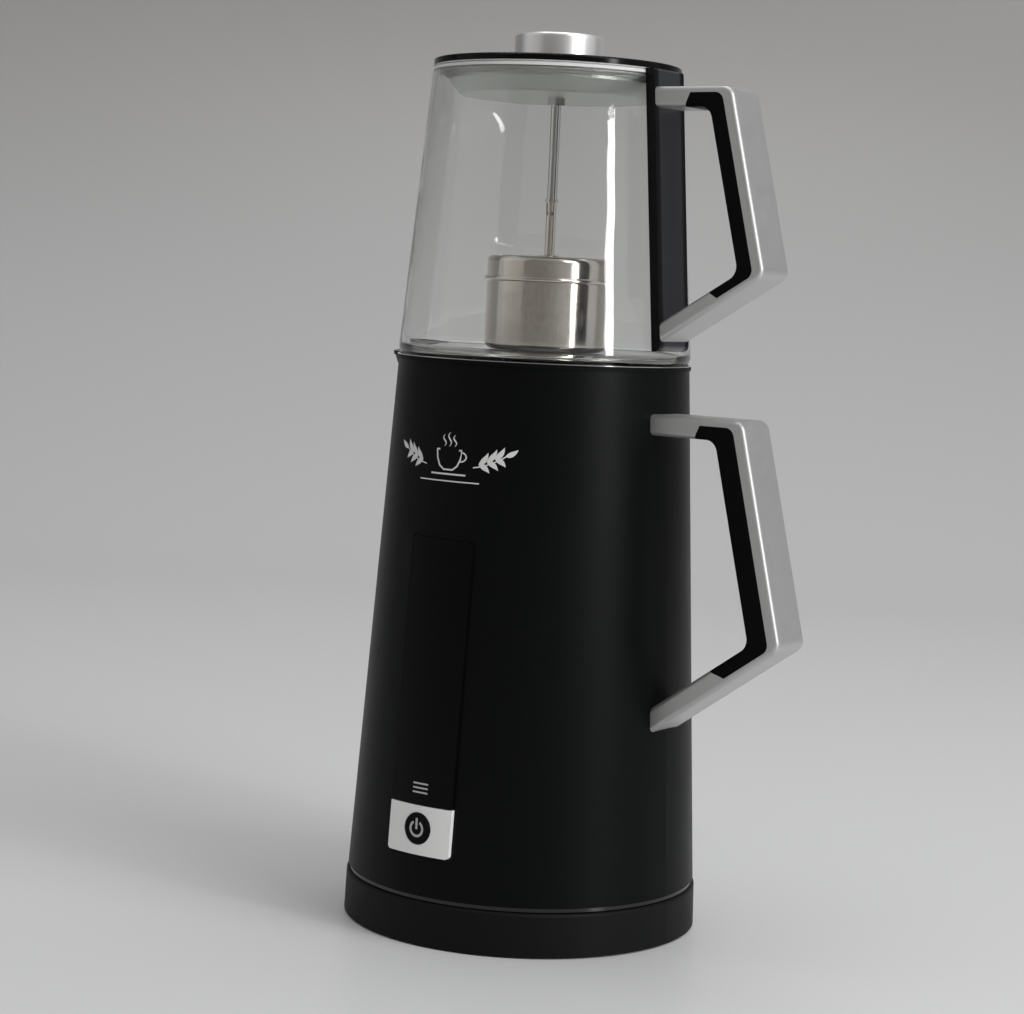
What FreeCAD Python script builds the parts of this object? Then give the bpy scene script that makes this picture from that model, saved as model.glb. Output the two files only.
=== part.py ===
import FreeCAD, Part
import math
import os
import re
import Sketcher
from FreeCAD import Rotation, Vector

# Automatic tea maker: a cordless electric kettle on a round power base, with a glass
# teapot standing in the kettle's rim.  Millimetres, +Z up, the origin on the floor at the
# centre of the base.  +X is the handle side, -X the spout side, -Y the control panel side.

doc = FreeCAD.newDocument("automatic_tea_maker")

# --------------------------------------------------------------------------------------
# Driving dimensions
# --------------------------------------------------------------------------------------
SIZES = {
    # power base
    "base_flare": 1.1,
    "base_taper": 0.5,
    "base_height": 18.4,
    "base_wall": 2.4,
    "base_edge": 1.2,
    "base_rim": 3.2,
    "base_cover": 2.2,
    "deck_depth": 3.0,
    "deck_thickness": 2.0,
    "foot_lift": 0.6,
    "foot_radius": 7.0,
    "foot_recess": 1.2,
    "foot_inset": 15.0,
    "base_screw_inset": 21.0,
    "base_screw": 1.4,
    "base_screw_length": 7.5,
    "base_screw_head": 2.9,
    "base_screw_cap": 1.2,
    "base_boss": 3.6,
    "fit_gap": 0.1,
    # connector between base and kettle
    "pillar_radius": 15.5,
    "pillar_height": 12.0,
    "pillar_flange": 20.0,
    "flange_thickness": 2.0,
    "contact_depth": 9.4,
    "contact_wall": 1.0,
    "contact_play": 0.6,
    "contact_dip": 6.9,
    "pin_radius": 2.4,
    "ring_radius": 10.4,
    "running_gap": 0.05,
    "socket_play": 0.7,
    "socket_wall": 3.8,
    "socket_headroom": 1.2,
    "socket_roof": 2.4,
    "socket_flange": 3.0,
    "tab_radius": 1.2,
    "tab_length": 5.4,
    "terminal_length": 7.0,
    # mains cord and its exit
    "exit_height": 8.0,
    "relief_length": 24.0,
    "relief_radius": 5.8,
    "relief_tip": 4.4,
    "relief_neck": 4.5,
    "relief_flange": 4.9,
    "wire_radius": 1.1,
    "wire_spacing": 3.2,
    # kettle
    "seam_gap": 0.4,
    "trim_height": 1.6,
    "trim_inset": 0.5,
    "trim_wall": 1.3,
    "kettle_radius": 73.9,
    "kettle_top_radius": 61.3,
    "kettle_height": 215.6,
    "shell_wall": 1.0,
    "tank_gap": 5.0,
    "tank_wall": 0.8,
    "tank_corner": 5.0,
    "chamber_height": 45.2,
    "kettle_cover": 2.2,
    "cover_inset": 1.9,
    "cover_wall": 2.0,
    "cover_wall_height": 9.0,
    "spigot_width": 6.0,
    "spigot_clearance": 0.3,
    "spigot_play": 0.7,
    "rim_height": 2.0,
    "rim_overhang": 0.6,
    "rim_bead": 0.9,
    "ledge_rise": 0.5,
    "ledge_thickness": 1.3,
    "ledge_width": 11.3,
    "spout_reach": 17.3,
    "spout_length": 30.0,
    "spout_width": 14.0,
    "spout_drop": 36.0,
    "spout_gap": 0.7,
    # heater
    "plate_radius": 44.0,
    "plate_thickness": 2.5,
    "element_circle": 36.0,
    "element_tube": 4.2,
    "element_leg": 9.0,
    "element_leg_radius": 2.6,
    "stud_inset": 17.9,
    "stud_radius": 3.4,
    "stud_length": 12.0,
    "post_wall": 1.0,
    "kettle_screw": 1.6,
    "kettle_screw_head": 3.0,
    "kettle_screw_cap": 2.4,
    "kettle_screw_bite": 6.0,
    "kettle_screw_seat": 5.0,
    "thermostat_radius": 8.5,
    "thermostat_height": 7.0,
    "thermostat_tab": 5.0,
    "fuse_radius": 2.2,
    "fuse_length": 12.0,
    "sensor_radius": 3.0,
    "sensor_length": 8.0,
    "hook_wire": 1.0,
    # controls
    "board_width": 30.0,
    "board_height": 36.0,
    "board_thickness": 1.6,
    "board_setback": 9.7,
    "board_slot": 3.0,
    "board_post": 4.0,
    "relay_width": 15.0,
    "relay_depth": 10.0,
    "relay_height": 12.0,
    "switch_size": 6.0,
    "switch_depth": 3.5,
    "plunger_radius": 1.7,
    "plunger_reach": 1.5,
    "plunger_inside": 1.9,
    # control panel
    "panel_rise": 18.4,
    "panel_half": 15.5,
    "panel_proud": 1.5,
    "panel_gap": 1.4,
    "plate_height": 20.0,
    "cover_height": 108.0,
    "cover_split": 0.3,
    "cover_round": 3.0,
    "plate_round": 1.6,
    "panel_seat": 0.3,
    "tray_depth": 3.2,
    "tray_lip": 2.8,
    "button_rise": 29.0,
    "button_radius": 6.3,
    "button_gap": 0.3,
    "button_proud": 0.5,
    "button_edge": 0.5,
    "button_flange": 1.4,
    "button_flange_thickness": 1.2,
    "button_stem": 2.2,
    "button_play": 0.8,
    # glass teapot
    "rest_gap": 0.2,
    "glass_overhang": 0.6,
    "glass_taper": 10.05,
    "glass_height": 120.7,
    "glass_wall": 2.2,
    "glass_floor": 3.0,
    "glass_corner": 4.6,
    "lip_reach": 8.4,
    "lip_length": 20.0,
    "lip_width": 14.0,
    "lip_drop": 24.0,
    "strip_rise": 7.6,
    "strip_proud": 3.2,
    "strip_round": 2.5,
    # lid
    "lid_gap": 0.65,
    "lid_inset": 0.05,
    "lid_thickness": 2.65,
    "lid_edge": 0.8,
    "gasket_flange": 0.4,
    "gasket_flange_inset": 0.65,
    "gasket_inset": 5.05,
    "gasket_depth": 4.4,
    "gasket_lip_inset": 2.35,
    "gasket_lip_height": 1.2,
    "gasket_lip_thickness": 0.6,
    "cup_inset": 6.85,
    "cup_draft": 4.6,
    "cup_depth": 11.55,
    "cup_wall": 1.2,
    "cup_corner": 2.5,
    "knob_radius": 18.5,
    "knob_height": 11.9,
    "knob_wall": 1.4,
    "knob_edge": 1.6,
    "knob_boss": 4.5,
    "knob_thread": 8.3,
    "rod_radius": 2.1,
    "rod_nut": 2.8,
    "rod_nut_flats": 7.0,
    "collar_radius": 2.7,
    "collar_height": 1.2,
    "spigot_radius": 1.42,
    "spigot_length": 13.5,
    "bayonet_drop": 4.7,
    "bayonet_pin": 0.55,
    "bayonet_reach": 2.45,
    "bayonet_play": 0.2,
    # infuser
    "infuser_clearance": 0.7,
    "infuser_radius": 25.8,
    "infuser_wall": 0.6,
    "infuser_corner": 3.0,
    "basket_height": 29.6,
    "basket_gap": 0.3,
    "neck_height": 6.0,
    "neck_fit": 0.3,
    "cap_height": 10.7,
    "cap_round": 2.5,
    "bead_width": 1.2,
    "bead_height": 2.0,
    "tube_length": 22.8,
    "tube_bore": 1.5,
    "tube_wall": 0.65,
    "tube_flange": 4.5,
    "tube_flange_thickness": 0.8,
    "hole_radius": 0.8,
    "hole_spacing": 5.0,
    # handles
    "handle_width": 22.0,
    "handle_edge": 2.0,
    "handle_corner": 5.0,
    "grip_corner": 4.0,
    "palm_corner": 5.5,
    "grip_slant": 2.4,
    "handle_screw_bite": 7.0,
    "kettle_handle_drop": 19.1,
    "kettle_handle_reach": 42.9,
    "kettle_handle_lean": 22.4,
    "kettle_handle_length": 88.9,
    "kettle_handle_span": 129.0,
    "kettle_handle_arm": 8.5,
    "kettle_handle_low_arm": 10.6,
    "kettle_handle_bar": 4.8,
    "kettle_handle_grip": 10.0,
    "kettle_handle_skin": 2.9,
    "kettle_handle_low_skin": 3.2,
    "kettle_handle_start": 19.3,
    "kettle_handle_end": 31.7,
    "kettle_handle_end_cut": 7.5,
    "kettle_handle_screw": 1.95,
    "kettle_handle_screw_head": 3.6,
    "kettle_handle_screw_cap": 1.7,
    "kettle_handle_screw_rise": 7.9,
    "teapot_handle_drop": 7.0,
    "teapot_handle_reach": 39.25,
    "teapot_handle_lean": 19.2,
    "teapot_handle_bend_rise": 39.5,
    "teapot_handle_foot_rise": 11.7,
    "teapot_handle_arm": 8.2,
    "teapot_handle_low_arm": 8.2,
    "teapot_handle_bar": 4.6,
    "teapot_handle_grip": 7.6,
    "teapot_handle_skin": 2.5,
    "teapot_handle_low_skin": 3.1,
    "teapot_handle_start": 18.7,
    "teapot_handle_end": 25.1,
    "teapot_handle_end_cut": 4.5,
    "teapot_handle_screw": 1.45,
    "teapot_handle_screw_head": 3.3,
    "teapot_handle_screw_cap": 1.3,
    "teapot_handle_screw_rise": 6.2,
}

sheet = doc.addObject("Spreadsheet::Sheet", "Sizes")
for row, (alias, length) in enumerate(SIZES.items(), start=1):
    sheet.set(f"A{row}", alias)
    sheet.set(f"B{row}", str(length))
    sheet.setAlias(f"B{row}", alias)

# Heights, radii and reaches that follow from the driving dimensions.
places = doc.addObject("App::VarSet", "Places")
PLACES = []


def linked(expression):
    """An expression with each word replaced by the sheet cell or place that it names."""

    def owner(match):
        word = match.group()
        if word in SIZES:
            return "Sizes." + word
        if word in PLACES:
            return "Places." + word
        return word

    return re.sub(r"[a-z_]\w*", owner, expression)


def place(name, expression):
    places.addProperty("App::PropertyFloat", name, "Places")
    places.setExpression(name, linked(expression))
    PLACES.append(name)


def number(name):
    """The present value of a size or a place."""
    return float(getattr(sheet if name in SIZES else places, name))


def shell_radius(height):
    return f"(kettle_radius - kettle_slope * ({height} - shell_bottom))"


def glass_radius_at(height):
    return f"(glass_radius - glass_slope * ({height} - glass_bottom))"


def strip_front(height):
    return f"({glass_radius_at(height)} + strip_proud)"


# power base
place("base_radius", "kettle_radius + base_flare")
place("base_top_radius", "base_radius - base_taper")
place("foot_circle", "base_radius - foot_inset")
place("base_screw_circle", "base_radius - base_screw_inset")
place("cover_top", "foot_lift + base_cover")
place("deck_top", "base_height - deck_depth")
place("deck_under", "deck_top - deck_thickness")
place("base_inner", "base_radius - base_wall")
place("rim_inner", "base_top_radius - base_rim")
place("base_screw_seat", "foot_lift + base_screw_cap + 2 * fit_gap")
place("pillar_top", "deck_top + pillar_height")
place("contact_floor", "pillar_top - contact_depth")
place("flange_under", "deck_under - flange_thickness")
place("sleeve_inner", "pin_radius + contact_play")
place("groove_outer", "ring_radius + contact_play + contact_wall")
place("groove_inner", "ring_radius - contact_wall - contact_play")
place("tab_distance", "groove_outer")
place("relief_inside", "base_inner - 3.4")
place("cord_start", "base_radius + relief_length")
# kettle
place("kettle_bottom", "base_height + seam_gap")
place("shell_bottom", "kettle_bottom + trim_height")
place("shell_top", "shell_bottom + kettle_height")
place("kettle_slope", "(kettle_radius - kettle_top_radius) / kettle_height")
place("rim_top", "shell_top + rim_height")
place("mouth_radius", "kettle_top_radius - ledge_width")
place("spout_tip", "kettle_top_radius + spout_reach")
place("ledge_top", "shell_top + ledge_rise")
place("ledge_bottom", "ledge_top - ledge_thickness")
place("tank_floor", "kettle_bottom + chamber_height")
place("tank_low_radius", f"{shell_radius('tank_floor')} - shell_wall - tank_gap")
place("tank_top_radius", f"{shell_radius('ledge_bottom')} - shell_wall - tank_gap")
place("spout_foot", "shell_top - spout_drop")
place("spout_foot_tip", shell_radius("spout_foot"))
place("spout_skin", "shell_wall + spout_gap")
place("cover_floor", "kettle_bottom + kettle_cover")
place("cover_outer", "kettle_radius - cover_inset")
place("cover_wall_top", "cover_floor + cover_wall_height")
place("spigot_outer", "rim_inner - spigot_play")
place("spigot_low", "deck_top + spigot_clearance")
place("socket_inner", "pillar_radius + socket_play")
place("socket_outer", "socket_inner + socket_wall")
place("socket_ceiling", "pillar_top + socket_headroom")
place("socket_top", "socket_ceiling + socket_roof")
place("contact_low", "pillar_top - contact_dip")
place("contact_high", "socket_ceiling + socket_roof / 2")
# heater and controls
place("plate_under", "tank_floor - plate_thickness")
place("element_height", "plate_under - element_tube")
place("leg_end", "element_height - element_leg")
place("thermostat_low", "plate_under - thermostat_height")
place("stud_circle", "kettle_radius - stud_inset")
place("stud_end", "tank_floor - stud_length")
place("screw_seat", "kettle_bottom + kettle_screw_seat")
place("button_height", "kettle_bottom + button_rise")
place("button_wall", shell_radius("button_height"))
place("button_face", "button_wall + panel_proud + button_proud")
place("button_shoulder", "button_wall - panel_seat - button_play")
place("board_reach", "button_wall - board_setback")
place("board_low", "cover_floor + board_slot")
place("switch_face", "board_reach + switch_depth")
place("plunger_face", "switch_face + plunger_reach")
# control panel
place("panel_bottom", "kettle_bottom + panel_rise")
place("plate_top", "panel_bottom + plate_height")
place("cover_bottom", "plate_top + cover_split")
place("panel_top", "cover_bottom + cover_height")
place("window_half", "panel_half + panel_gap")
place("window_bottom", "panel_bottom - panel_gap")
place("window_top", "panel_top + panel_gap")
# glass teapot
place("glass_bottom", "ledge_top + rest_gap")
place("glass_top", "glass_bottom + glass_height")
place("glass_radius", "kettle_top_radius + glass_overhang")
place("glass_top_radius", "glass_radius - glass_taper")
place("glass_slope", "glass_taper / glass_height")
place("lip_tip", "glass_top_radius + lip_reach")
place("glass_inside", "glass_bottom + glass_floor")
place("lip_foot", "glass_top - lip_drop")
place("lip_foot_tip", glass_radius_at("lip_foot"))
place("teapot_handle_length", "glass_height - teapot_handle_drop - teapot_handle_bend_rise")
place("teapot_handle_span", "glass_height - teapot_handle_drop - teapot_handle_foot_rise")
place("strip_bottom", "glass_bottom + strip_rise")
place("strip_top", "glass_top + lid_gap / 2")
# lid and infuser
place("lid_radius", "glass_top_radius - lid_inset")
place("gasket_flange_radius", "glass_top_radius - gasket_flange_inset")
place("gasket_radius", "glass_top_radius - gasket_inset")
place("gasket_lip", "glass_top_radius - gasket_lip_inset")
place("cup_radius", "glass_top_radius - cup_inset")
place("cup_floor_radius", "cup_radius - cup_draft")
place("lid_under", "glass_top + lid_gap")
place("lid_top", "lid_under + lid_thickness")
place("lid_bore", "rod_radius + fit_gap")
place("gasket_bottom", "lid_under - gasket_depth")
place("gasket_lip_low", "gasket_bottom + gasket_lip_height")
place("knob_top", "lid_top + knob_height")
place("rod_top", "lid_top + knob_thread")
place("cup_bottom", "lid_under - cup_depth")
place("cup_waist", "lid_under - cup_depth / 2")
place("basket_bottom", "glass_inside + infuser_clearance")
place("basket_floor", "basket_bottom + infuser_wall")
place("bead_bottom", "basket_bottom + basket_height")
place("bead_top", "bead_bottom + bead_height")
place("bead_outer", "infuser_radius + bead_width")
place("shoulder", "bead_bottom - basket_gap")
place("cap_top", "bead_bottom + cap_height")
place("cap_inner", "infuser_radius - infuser_wall")
place("neck_outer", "cap_inner - neck_fit")
place("neck_inner", "neck_outer - infuser_wall")
place("tube_top", "cap_top + tube_length")
place("tube_outer", "tube_bore + tube_wall")
place("collar_low", "tube_top + fit_gap")
place("collar_top", "collar_low + collar_height")
place("rod_tip", "collar_low - spigot_length")
place("bayonet_height", "tube_top - bayonet_drop")
place("slot_low", "bayonet_height - bayonet_pin - bayonet_play")
place("slot_height", "2 * (bayonet_pin + bayonet_play)")


# --------------------------------------------------------------------------------------
# Ways of making a piece
# --------------------------------------------------------------------------------------
NODES = []
ALONG_X = Rotation(Vector(0, 1, 0), 90)
ALONG_Y = Rotation(Vector(1, 0, 0), -90)


def node(item, label):
    """Names a finished piece of the tea maker."""
    item.Label = label
    NODES.append(item)
    return item


def bind(item, **expressions):
    for name, expression in expressions.items():
        item.setExpression(name, linked(expression))
    return item


def stand_at(item, x="0", y="0", z="0", rotation=None):
    if rotation:
        item.Placement.Rotation = rotation
    for axis, expression in zip("xyz", (x, y, z)):
        item.setExpression(f"Placement.Base.{axis}", linked(expression))
    return item


def cylinder(name, radius, height, x="0", y="0", z="0", rotation=None):
    item = doc.addObject("Part::Cylinder", name)
    bind(item, Radius=radius, Height=height)
    return stand_at(item, x, y, z, rotation)


def cone(name, low_radius, high_radius, height, x="0", y="0", z="0", rotation=None):
    item = doc.addObject("Part::Cone", name)
    bind(item, Radius1=low_radius, Radius2=high_radius, Height=height)
    return stand_at(item, x, y, z, rotation)


def block(name, wide, deep, high, x="0", y="0", z="0"):
    """A box centred on x and y, standing on z."""
    item = doc.addObject("Part::Box", name)
    bind(item, Length=wide, Width=deep, Height=high)
    return stand_at(item, f"{x} - ({wide}) / 2", f"{y} - ({deep}) / 2", z)


def fuse(name, *pieces):
    item = doc.addObject("Part::MultiFuse", name)
    item.Shapes = list(pieces)
    return item


def cut(name, piece, *tools):
    item = doc.addObject("Part::Cut", name)
    item.Base = piece
    item.Tool = tools[0] if len(tools) == 1 else fuse(name + "_tools", *tools)
    return item


def common(name, first, second):
    item = doc.addObject("Part::Common", name)
    item.Base = first
    item.Tool = second
    return item


def group(name, *pieces):
    item = doc.addObject("Part::Compound", name)
    item.Links = list(pieces)
    return item


def ring_of(name, count, start, circle, radius, height, z):
    """Equal upright cylinders on a circle round the axis."""
    pieces = []
    for index in range(count):
        angle = start + 360.0 * index / count
        x, y = f"{circle} * cos({angle})", f"{circle} * sin({angle})"
        pieces.append(cylinder(f"{name}_{index + 1}", radius, height, x, y, z))
    return pieces


def screws(name, at, seat, shank, length, head, cap):
    """Upright screws at the places that at() gives, with their heads below the seat."""
    heads = at(name + "_head", head, cap, f"{seat} - {cap}")
    shanks = at(name + "_shank", shank, length, seat)
    pairs = enumerate(zip(heads, shanks), start=1)
    return group(name, *[fuse(f"{name}_{index}", *pair) for index, pair in pairs])


def new_sketch(body, plane_role, height="0"):
    sketch = body.newObject("Sketcher::SketchObject", body.Name + "_outline")
    planes = [item for item in body.Origin.OriginFeatures if item.Role == plane_role]
    sketch.AttachmentSupport = (planes[0], "")
    sketch.MapMode = "FlatFace"
    sketch.setExpression("AttachmentOffset.Base.z", linked(height))
    return sketch


def hold(sketch, constraint, expression):
    index = sketch.addConstraint(constraint)
    sketch.setExpression(f"Constraints[{index}]", linked(expression))


def outline(body, plane_role, corners, height="0"):
    """A closed sketch of straight lines; each corner is held by its two expressions."""
    sketch = new_sketch(body, plane_role, height)
    count = len(corners)
    turn = 2 * math.pi / count
    start = [Vector(math.cos(turn * index), math.sin(turn * index), 0) for index in range(count)]
    for index in range(count):
        sketch.addGeometry(Part.LineSegment(start[index], start[(index + 1) % count]), False)
    for index in range(count):
        sketch.addConstraint(Sketcher.Constraint("Coincident", index, 2, (index + 1) % count, 1))
    for index, corner in enumerate(corners):
        point = start[index]
        hold(sketch, Sketcher.Constraint("DistanceX", -1, 1, index, 1, point.x), corner[0])
        hold(sketch, Sketcher.Constraint("DistanceY", -1, 1, index, 1, point.y), corner[1])
    return sketch


def round_edges(body, radius, wanted):
    """Rounds those edges of the body that wanted(edge) picks."""
    doc.recompute()
    base = body.Tip
    edges = [f"Edge{index}" for index, edge in enumerate(base.Shape.Edges, 1) if wanted(edge)]
    rounded = body.newObject("PartDesign::Fillet", body.Name + "_round")
    rounded.Base = (base, edges)
    bind(rounded, Radius=radius)
    body.Tip = rounded


def round_corners(body, sketch, corners, through):
    """Rounds the edges that pass through those corners that name a radius."""
    doc.recompute()
    points = [line.StartPoint for line in sketch.Geometry]
    for radius in dict.fromkeys(corner[2] for corner in corners if len(corner) == 3):
        wanted = [point for point, corner in zip(points, corners) if radius in corner[2:]]
        round_edges(body, radius, lambda edge: any(through(edge, p.x, p.y) for p in wanted))


def circle_through(edge, radius, height):
    return (
        isinstance(edge.Curve, Part.Circle)
        and abs(edge.Curve.Radius - radius) < 1e-4
        and abs(edge.Vertexes[0].Z - height) < 1e-4
    )


def crosswise_through(edge, x, z):
    return all(math.hypot(vertex.X - x, vertex.Z - z) < 1e-4 for vertex in edge.Vertexes)


def turned(name, corners):
    """A piece turned about Z from (radius, height) corners; a third entry rounds a corner.

    Corners are rounded in the order of the list, so the hollow side of a thin wall comes
    first.
    """
    body = doc.addObject("PartDesign::Body", name)
    sketch = outline(body, "XZ_Plane", corners)
    feature = body.newObject("PartDesign::Revolution", name + "_turn")
    feature.Profile = sketch
    feature.ReferenceAxis = (sketch, ["V_Axis"])
    feature.Angle = 360
    body.Tip = feature
    round_corners(body, sketch, corners, circle_through)
    return body


def side_plate(name, corners, width, long_sides=()):
    """A piece with an outline in the XZ plane, extruded evenly to both sides of it.

    The long edges of its two faces are rounded from each of the long sides onwards, round
    the rounded corners that follow.
    """
    body = doc.addObject("PartDesign::Body", name)
    sketch = outline(body, "XZ_Plane", corners)
    feature = body.newObject("PartDesign::Pad", name + "_pad")
    feature.Profile = sketch
    feature.Midplane = True
    bind(feature, Length=width)
    body.Tip = feature
    round_corners(body, sketch, corners, crosswise_through)
    sides = [sketch.Geometry[index] for index in long_sides]

    def on_long_side(edge):
        first, last = edge.Vertexes[0], edge.Vertexes[-1]
        if abs(first.Y - last.Y) > 1e-4:
            return False
        for side in sides:
            start = side.StartPoint
            along = (side.EndPoint - start).normalize()
            offsets = [Vector(vertex.X, vertex.Z, 0) - start for vertex in (first, last)]
            if all(offset.cross(along).Length < 1e-4 for offset in offsets):
                return True
        return False

    if sides:
        round_edges(body, "handle_edge", on_long_side)
    return body


def front_prism(name, half, low, high, low_round, high_round):
    """A rounded prism that runs out through the front wall of the kettle, towards -Y."""
    body = doc.addObject("PartDesign::Body", name)
    corners = [
        (f"-({half})", low, low_round),
        (half, low, low_round),
        (half, high, high_round),
        (f"-({half})", high, high_round),
    ]
    sketch = outline(body, "XZ_Plane", corners, height="kettle_top_radius / 2")
    feature = body.newObject("PartDesign::Pad", name + "_pad")
    feature.Profile = sketch
    bind(feature, Length="kettle_radius")
    body.Tip = feature
    round_corners(body, sketch, corners, crosswise_through)
    return body


def beak(name, top, foot, tip, foot_tip, long, wide, inset="0"):
    """A spout towards -X: a loft from a small ellipse at its foot to the one at its rim."""
    foot_length, foot_width = (f"({size} * 0.5 - {inset}) / 2" for size in (long, wide))
    ends = (
        ("foot", f"{foot} + {inset}", foot_tip, foot_length, foot_width),
        ("rim", top, tip, f"{long} - ({inset})", f"{wide} - ({inset})"),
    )
    rings = []
    for part, height, reach, half_long, half_wide in ends:
        ring = doc.addObject("Part::Ellipse", f"{name}_{part}")
        bind(ring, MajorRadius=half_long, MinorRadius=half_wide)
        rings.append(stand_at(ring, x=f"{half_long} - ({reach} - ({inset}))", z=height))
    loft = doc.addObject("Part::Loft", name)
    loft.Sections = rings
    loft.Solid = True
    loft.Ruled = True
    return loft


def nose(name, low, high, grow):
    """The plan of the kettle's spout as an upright prism; grow offsets it outwards."""
    ring = doc.addObject("Part::Ellipse", name + "_ring")
    bind(ring, MajorRadius=f"spout_length + ({grow})", MinorRadius=f"spout_width + ({grow})")
    stand_at(ring, x="spout_length - spout_tip", z=low)
    prism = doc.addObject("Part::Extrusion", name)
    prism.Base = ring
    prism.DirMode = "Custom"
    prism.Dir = Vector(0, 0, 1)
    prism.Solid = True
    return bind(prism, LengthFwd=f"{high} - ({low})")


def mouth(name, low, high, grow):
    """The plan of the kettle's top, a disc with its spout, as an upright prism."""
    disc = cylinder(name + "_disc", f"kettle_top_radius + ({grow})", f"{high} - ({low})", z=low)
    return fuse(name, disc, nose(name + "_nose", low, high, grow))


def wall_layer(name, outer, inner):
    """The space between two cones that lie outer and inner from the kettle's outside."""
    cones = [
        cone(
            f"{name}_{part}",
            f"kettle_radius + ({offset})",
            f"kettle_top_radius + ({offset})",
            "kettle_height",
            z="shell_bottom",
        )
        for part, offset in (("outside", outer), ("inside", inner))
    ]
    return cut(name, *cones)


def sleeve(name, outer, wall, low, high):
    """An upright tube between two heights."""
    height = f"{high} - ({low})"
    outside = cylinder(name + "_outside", outer, height, z=low)
    return cut(name, outside, cylinder(name + "_inside", f"{outer} - ({wall})", height, z=low))


def round_tube(points, radius):
    """A round solid along straight runs that are joined by the largest tangent arcs."""
    edges = []
    here = points[0]
    for before, corner, after in zip(points, points[1:], points[2:]):
        inward = (corner - before).normalize()
        onward = (after - corner).normalize()
        back = 0.45 * min((corner - before).Length, (after - corner).Length)
        bend = back / math.tan(inward.getAngle(onward) / 2)
        to_centre = (onward - inward).normalize()
        arc_start = corner - inward * back
        arc_end = corner + onward * back
        arc_middle = corner + to_centre * (math.hypot(bend, back) - bend)
        edges.append(Part.LineSegment(here, arc_start).toShape())
        edges.append(Part.Arc(arc_start, arc_middle, arc_end).toShape())
        here = arc_end
    edges.append(Part.LineSegment(here, points[-1]).toShape())
    path = Part.Wire(edges)
    section = Part.Wire(Part.Circle(points[0], points[1] - points[0], radius).toShape())
    solid = path.makePipeShell([section], True, False)
    expected = math.pi * radius**2 * path.Length
    if abs(solid.Volume / expected - 1) > 0.01:
        raise ValueError("a tube's volume differs from its section times its length")
    return solid


def shaped(name, shape):
    """A piece whose shape is worked out here from the sheet's values."""
    item = doc.addObject("Part::Feature", name)
    item.Shape = shape
    item.Placement = FreeCAD.Placement()
    return item


# --------------------------------------------------------------------------------------
# Power base
# --------------------------------------------------------------------------------------
# The cord leaves the base at this angle from +X.
EXIT_ANGLE = 127.5
EXIT_FRAME = Rotation(Vector(0, 0, 1), EXIT_ANGLE)
ALONG_EXIT = EXIT_FRAME * ALONG_X


def base_screw_at(name, radius, height, z):
    return ring_of(name, 3, 30.0, "base_screw_circle", radius, height, z)


def foot_at(name, radius, height, z):
    """Four places in a ring and one in the middle."""
    return [
        *ring_of(name, 4, 45.0, "foot_circle", radius, height, z),
        cylinder(f"{name}_middle", radius, height, z=z),
    ]


def behind(distance, side="0"):
    """A place at a distance from the axis towards the cord's exit, and to one side of it."""
    return (
        f"({distance}) * cos({EXIT_ANGLE}) - ({side}) * sin({EXIT_ANGLE})",
        f"({distance}) * sin({EXIT_ANGLE}) + ({side}) * cos({EXIT_ANGLE})",
    )


def exit_rod(name, radius, start, length, side="0", height="exit_height"):
    """A cylinder that lies along the cord's exit."""
    return cylinder(name, radius, length, *behind(start, side), height, ALONG_EXIT)


housing_shell = turned(
    "housing_shell",
    [
        ("base_radius", "foot_lift"),
        ("base_top_radius", "base_height", "base_edge"),
        ("rim_inner", "base_height"),
        ("rim_inner", "deck_top"),
        ("pillar_radius + fit_gap", "deck_top"),
        ("pillar_radius + fit_gap", "deck_under"),
        ("base_inner", "deck_under"),
        ("base_inner", "foot_lift"),
    ],
)
housing_bosses = base_screw_at("boss", "base_boss", "deck_under - cover_top", "cover_top")
node(
    cut(
        "housing",
        fuse("housing_solid", housing_shell, *housing_bosses),
        *base_screw_at(
            "boss_bore", "base_screw + running_gap", "base_screw_length + foot_lift", "cover_top"
        ),
        exit_rod("cord_hole", "relief_neck + fit_gap", "base_inner - 2 * base_wall", "4 * base_wall"),
    ),
    "base_housing",
)
node(
    cut(
        "base_cover_plate",
        cylinder("base_cover_disc", "base_inner - fit_gap", "base_cover", z="foot_lift"),
        *foot_at("foot_seat", "foot_radius + fit_gap", "foot_recess", "foot_lift"),
        *base_screw_at(
            "cover_sink", "base_screw_head + fit_gap", "base_screw_seat - foot_lift", "foot_lift"
        ),
        *base_screw_at("cover_hole", "base_screw + 2 * fit_gap", "base_cover", "foot_lift"),
    ),
    "base_bottom_cover",
)
node(group("feet", *foot_at("foot", "foot_radius", "foot_lift + foot_recess", "0")), "base_feet")
node(
    screws(
        "base_screw_set",
        base_screw_at,
        "base_screw_seat",
        "base_screw",
        "base_screw_length",
        "base_screw_head",
        "base_screw_cap",
    ),
    "base_screws",
)

node(
    turned(
        "pillar",
        [
            ("0", "flange_under"),
            ("pillar_flange", "flange_under"),
            ("pillar_flange", "deck_under"),
            ("pillar_radius", "deck_under"),
            ("pillar_radius", "pillar_top", "base_edge"),
            ("groove_outer", "pillar_top"),
            ("groove_outer", "contact_floor"),
            ("groove_inner", "contact_floor"),
            ("groove_inner", "pillar_top"),
            ("sleeve_inner + contact_wall", "pillar_top"),
            ("sleeve_inner + contact_wall", "contact_floor"),
            ("0", "contact_floor"),
        ],
    ),
    "base_connector",
)

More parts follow.
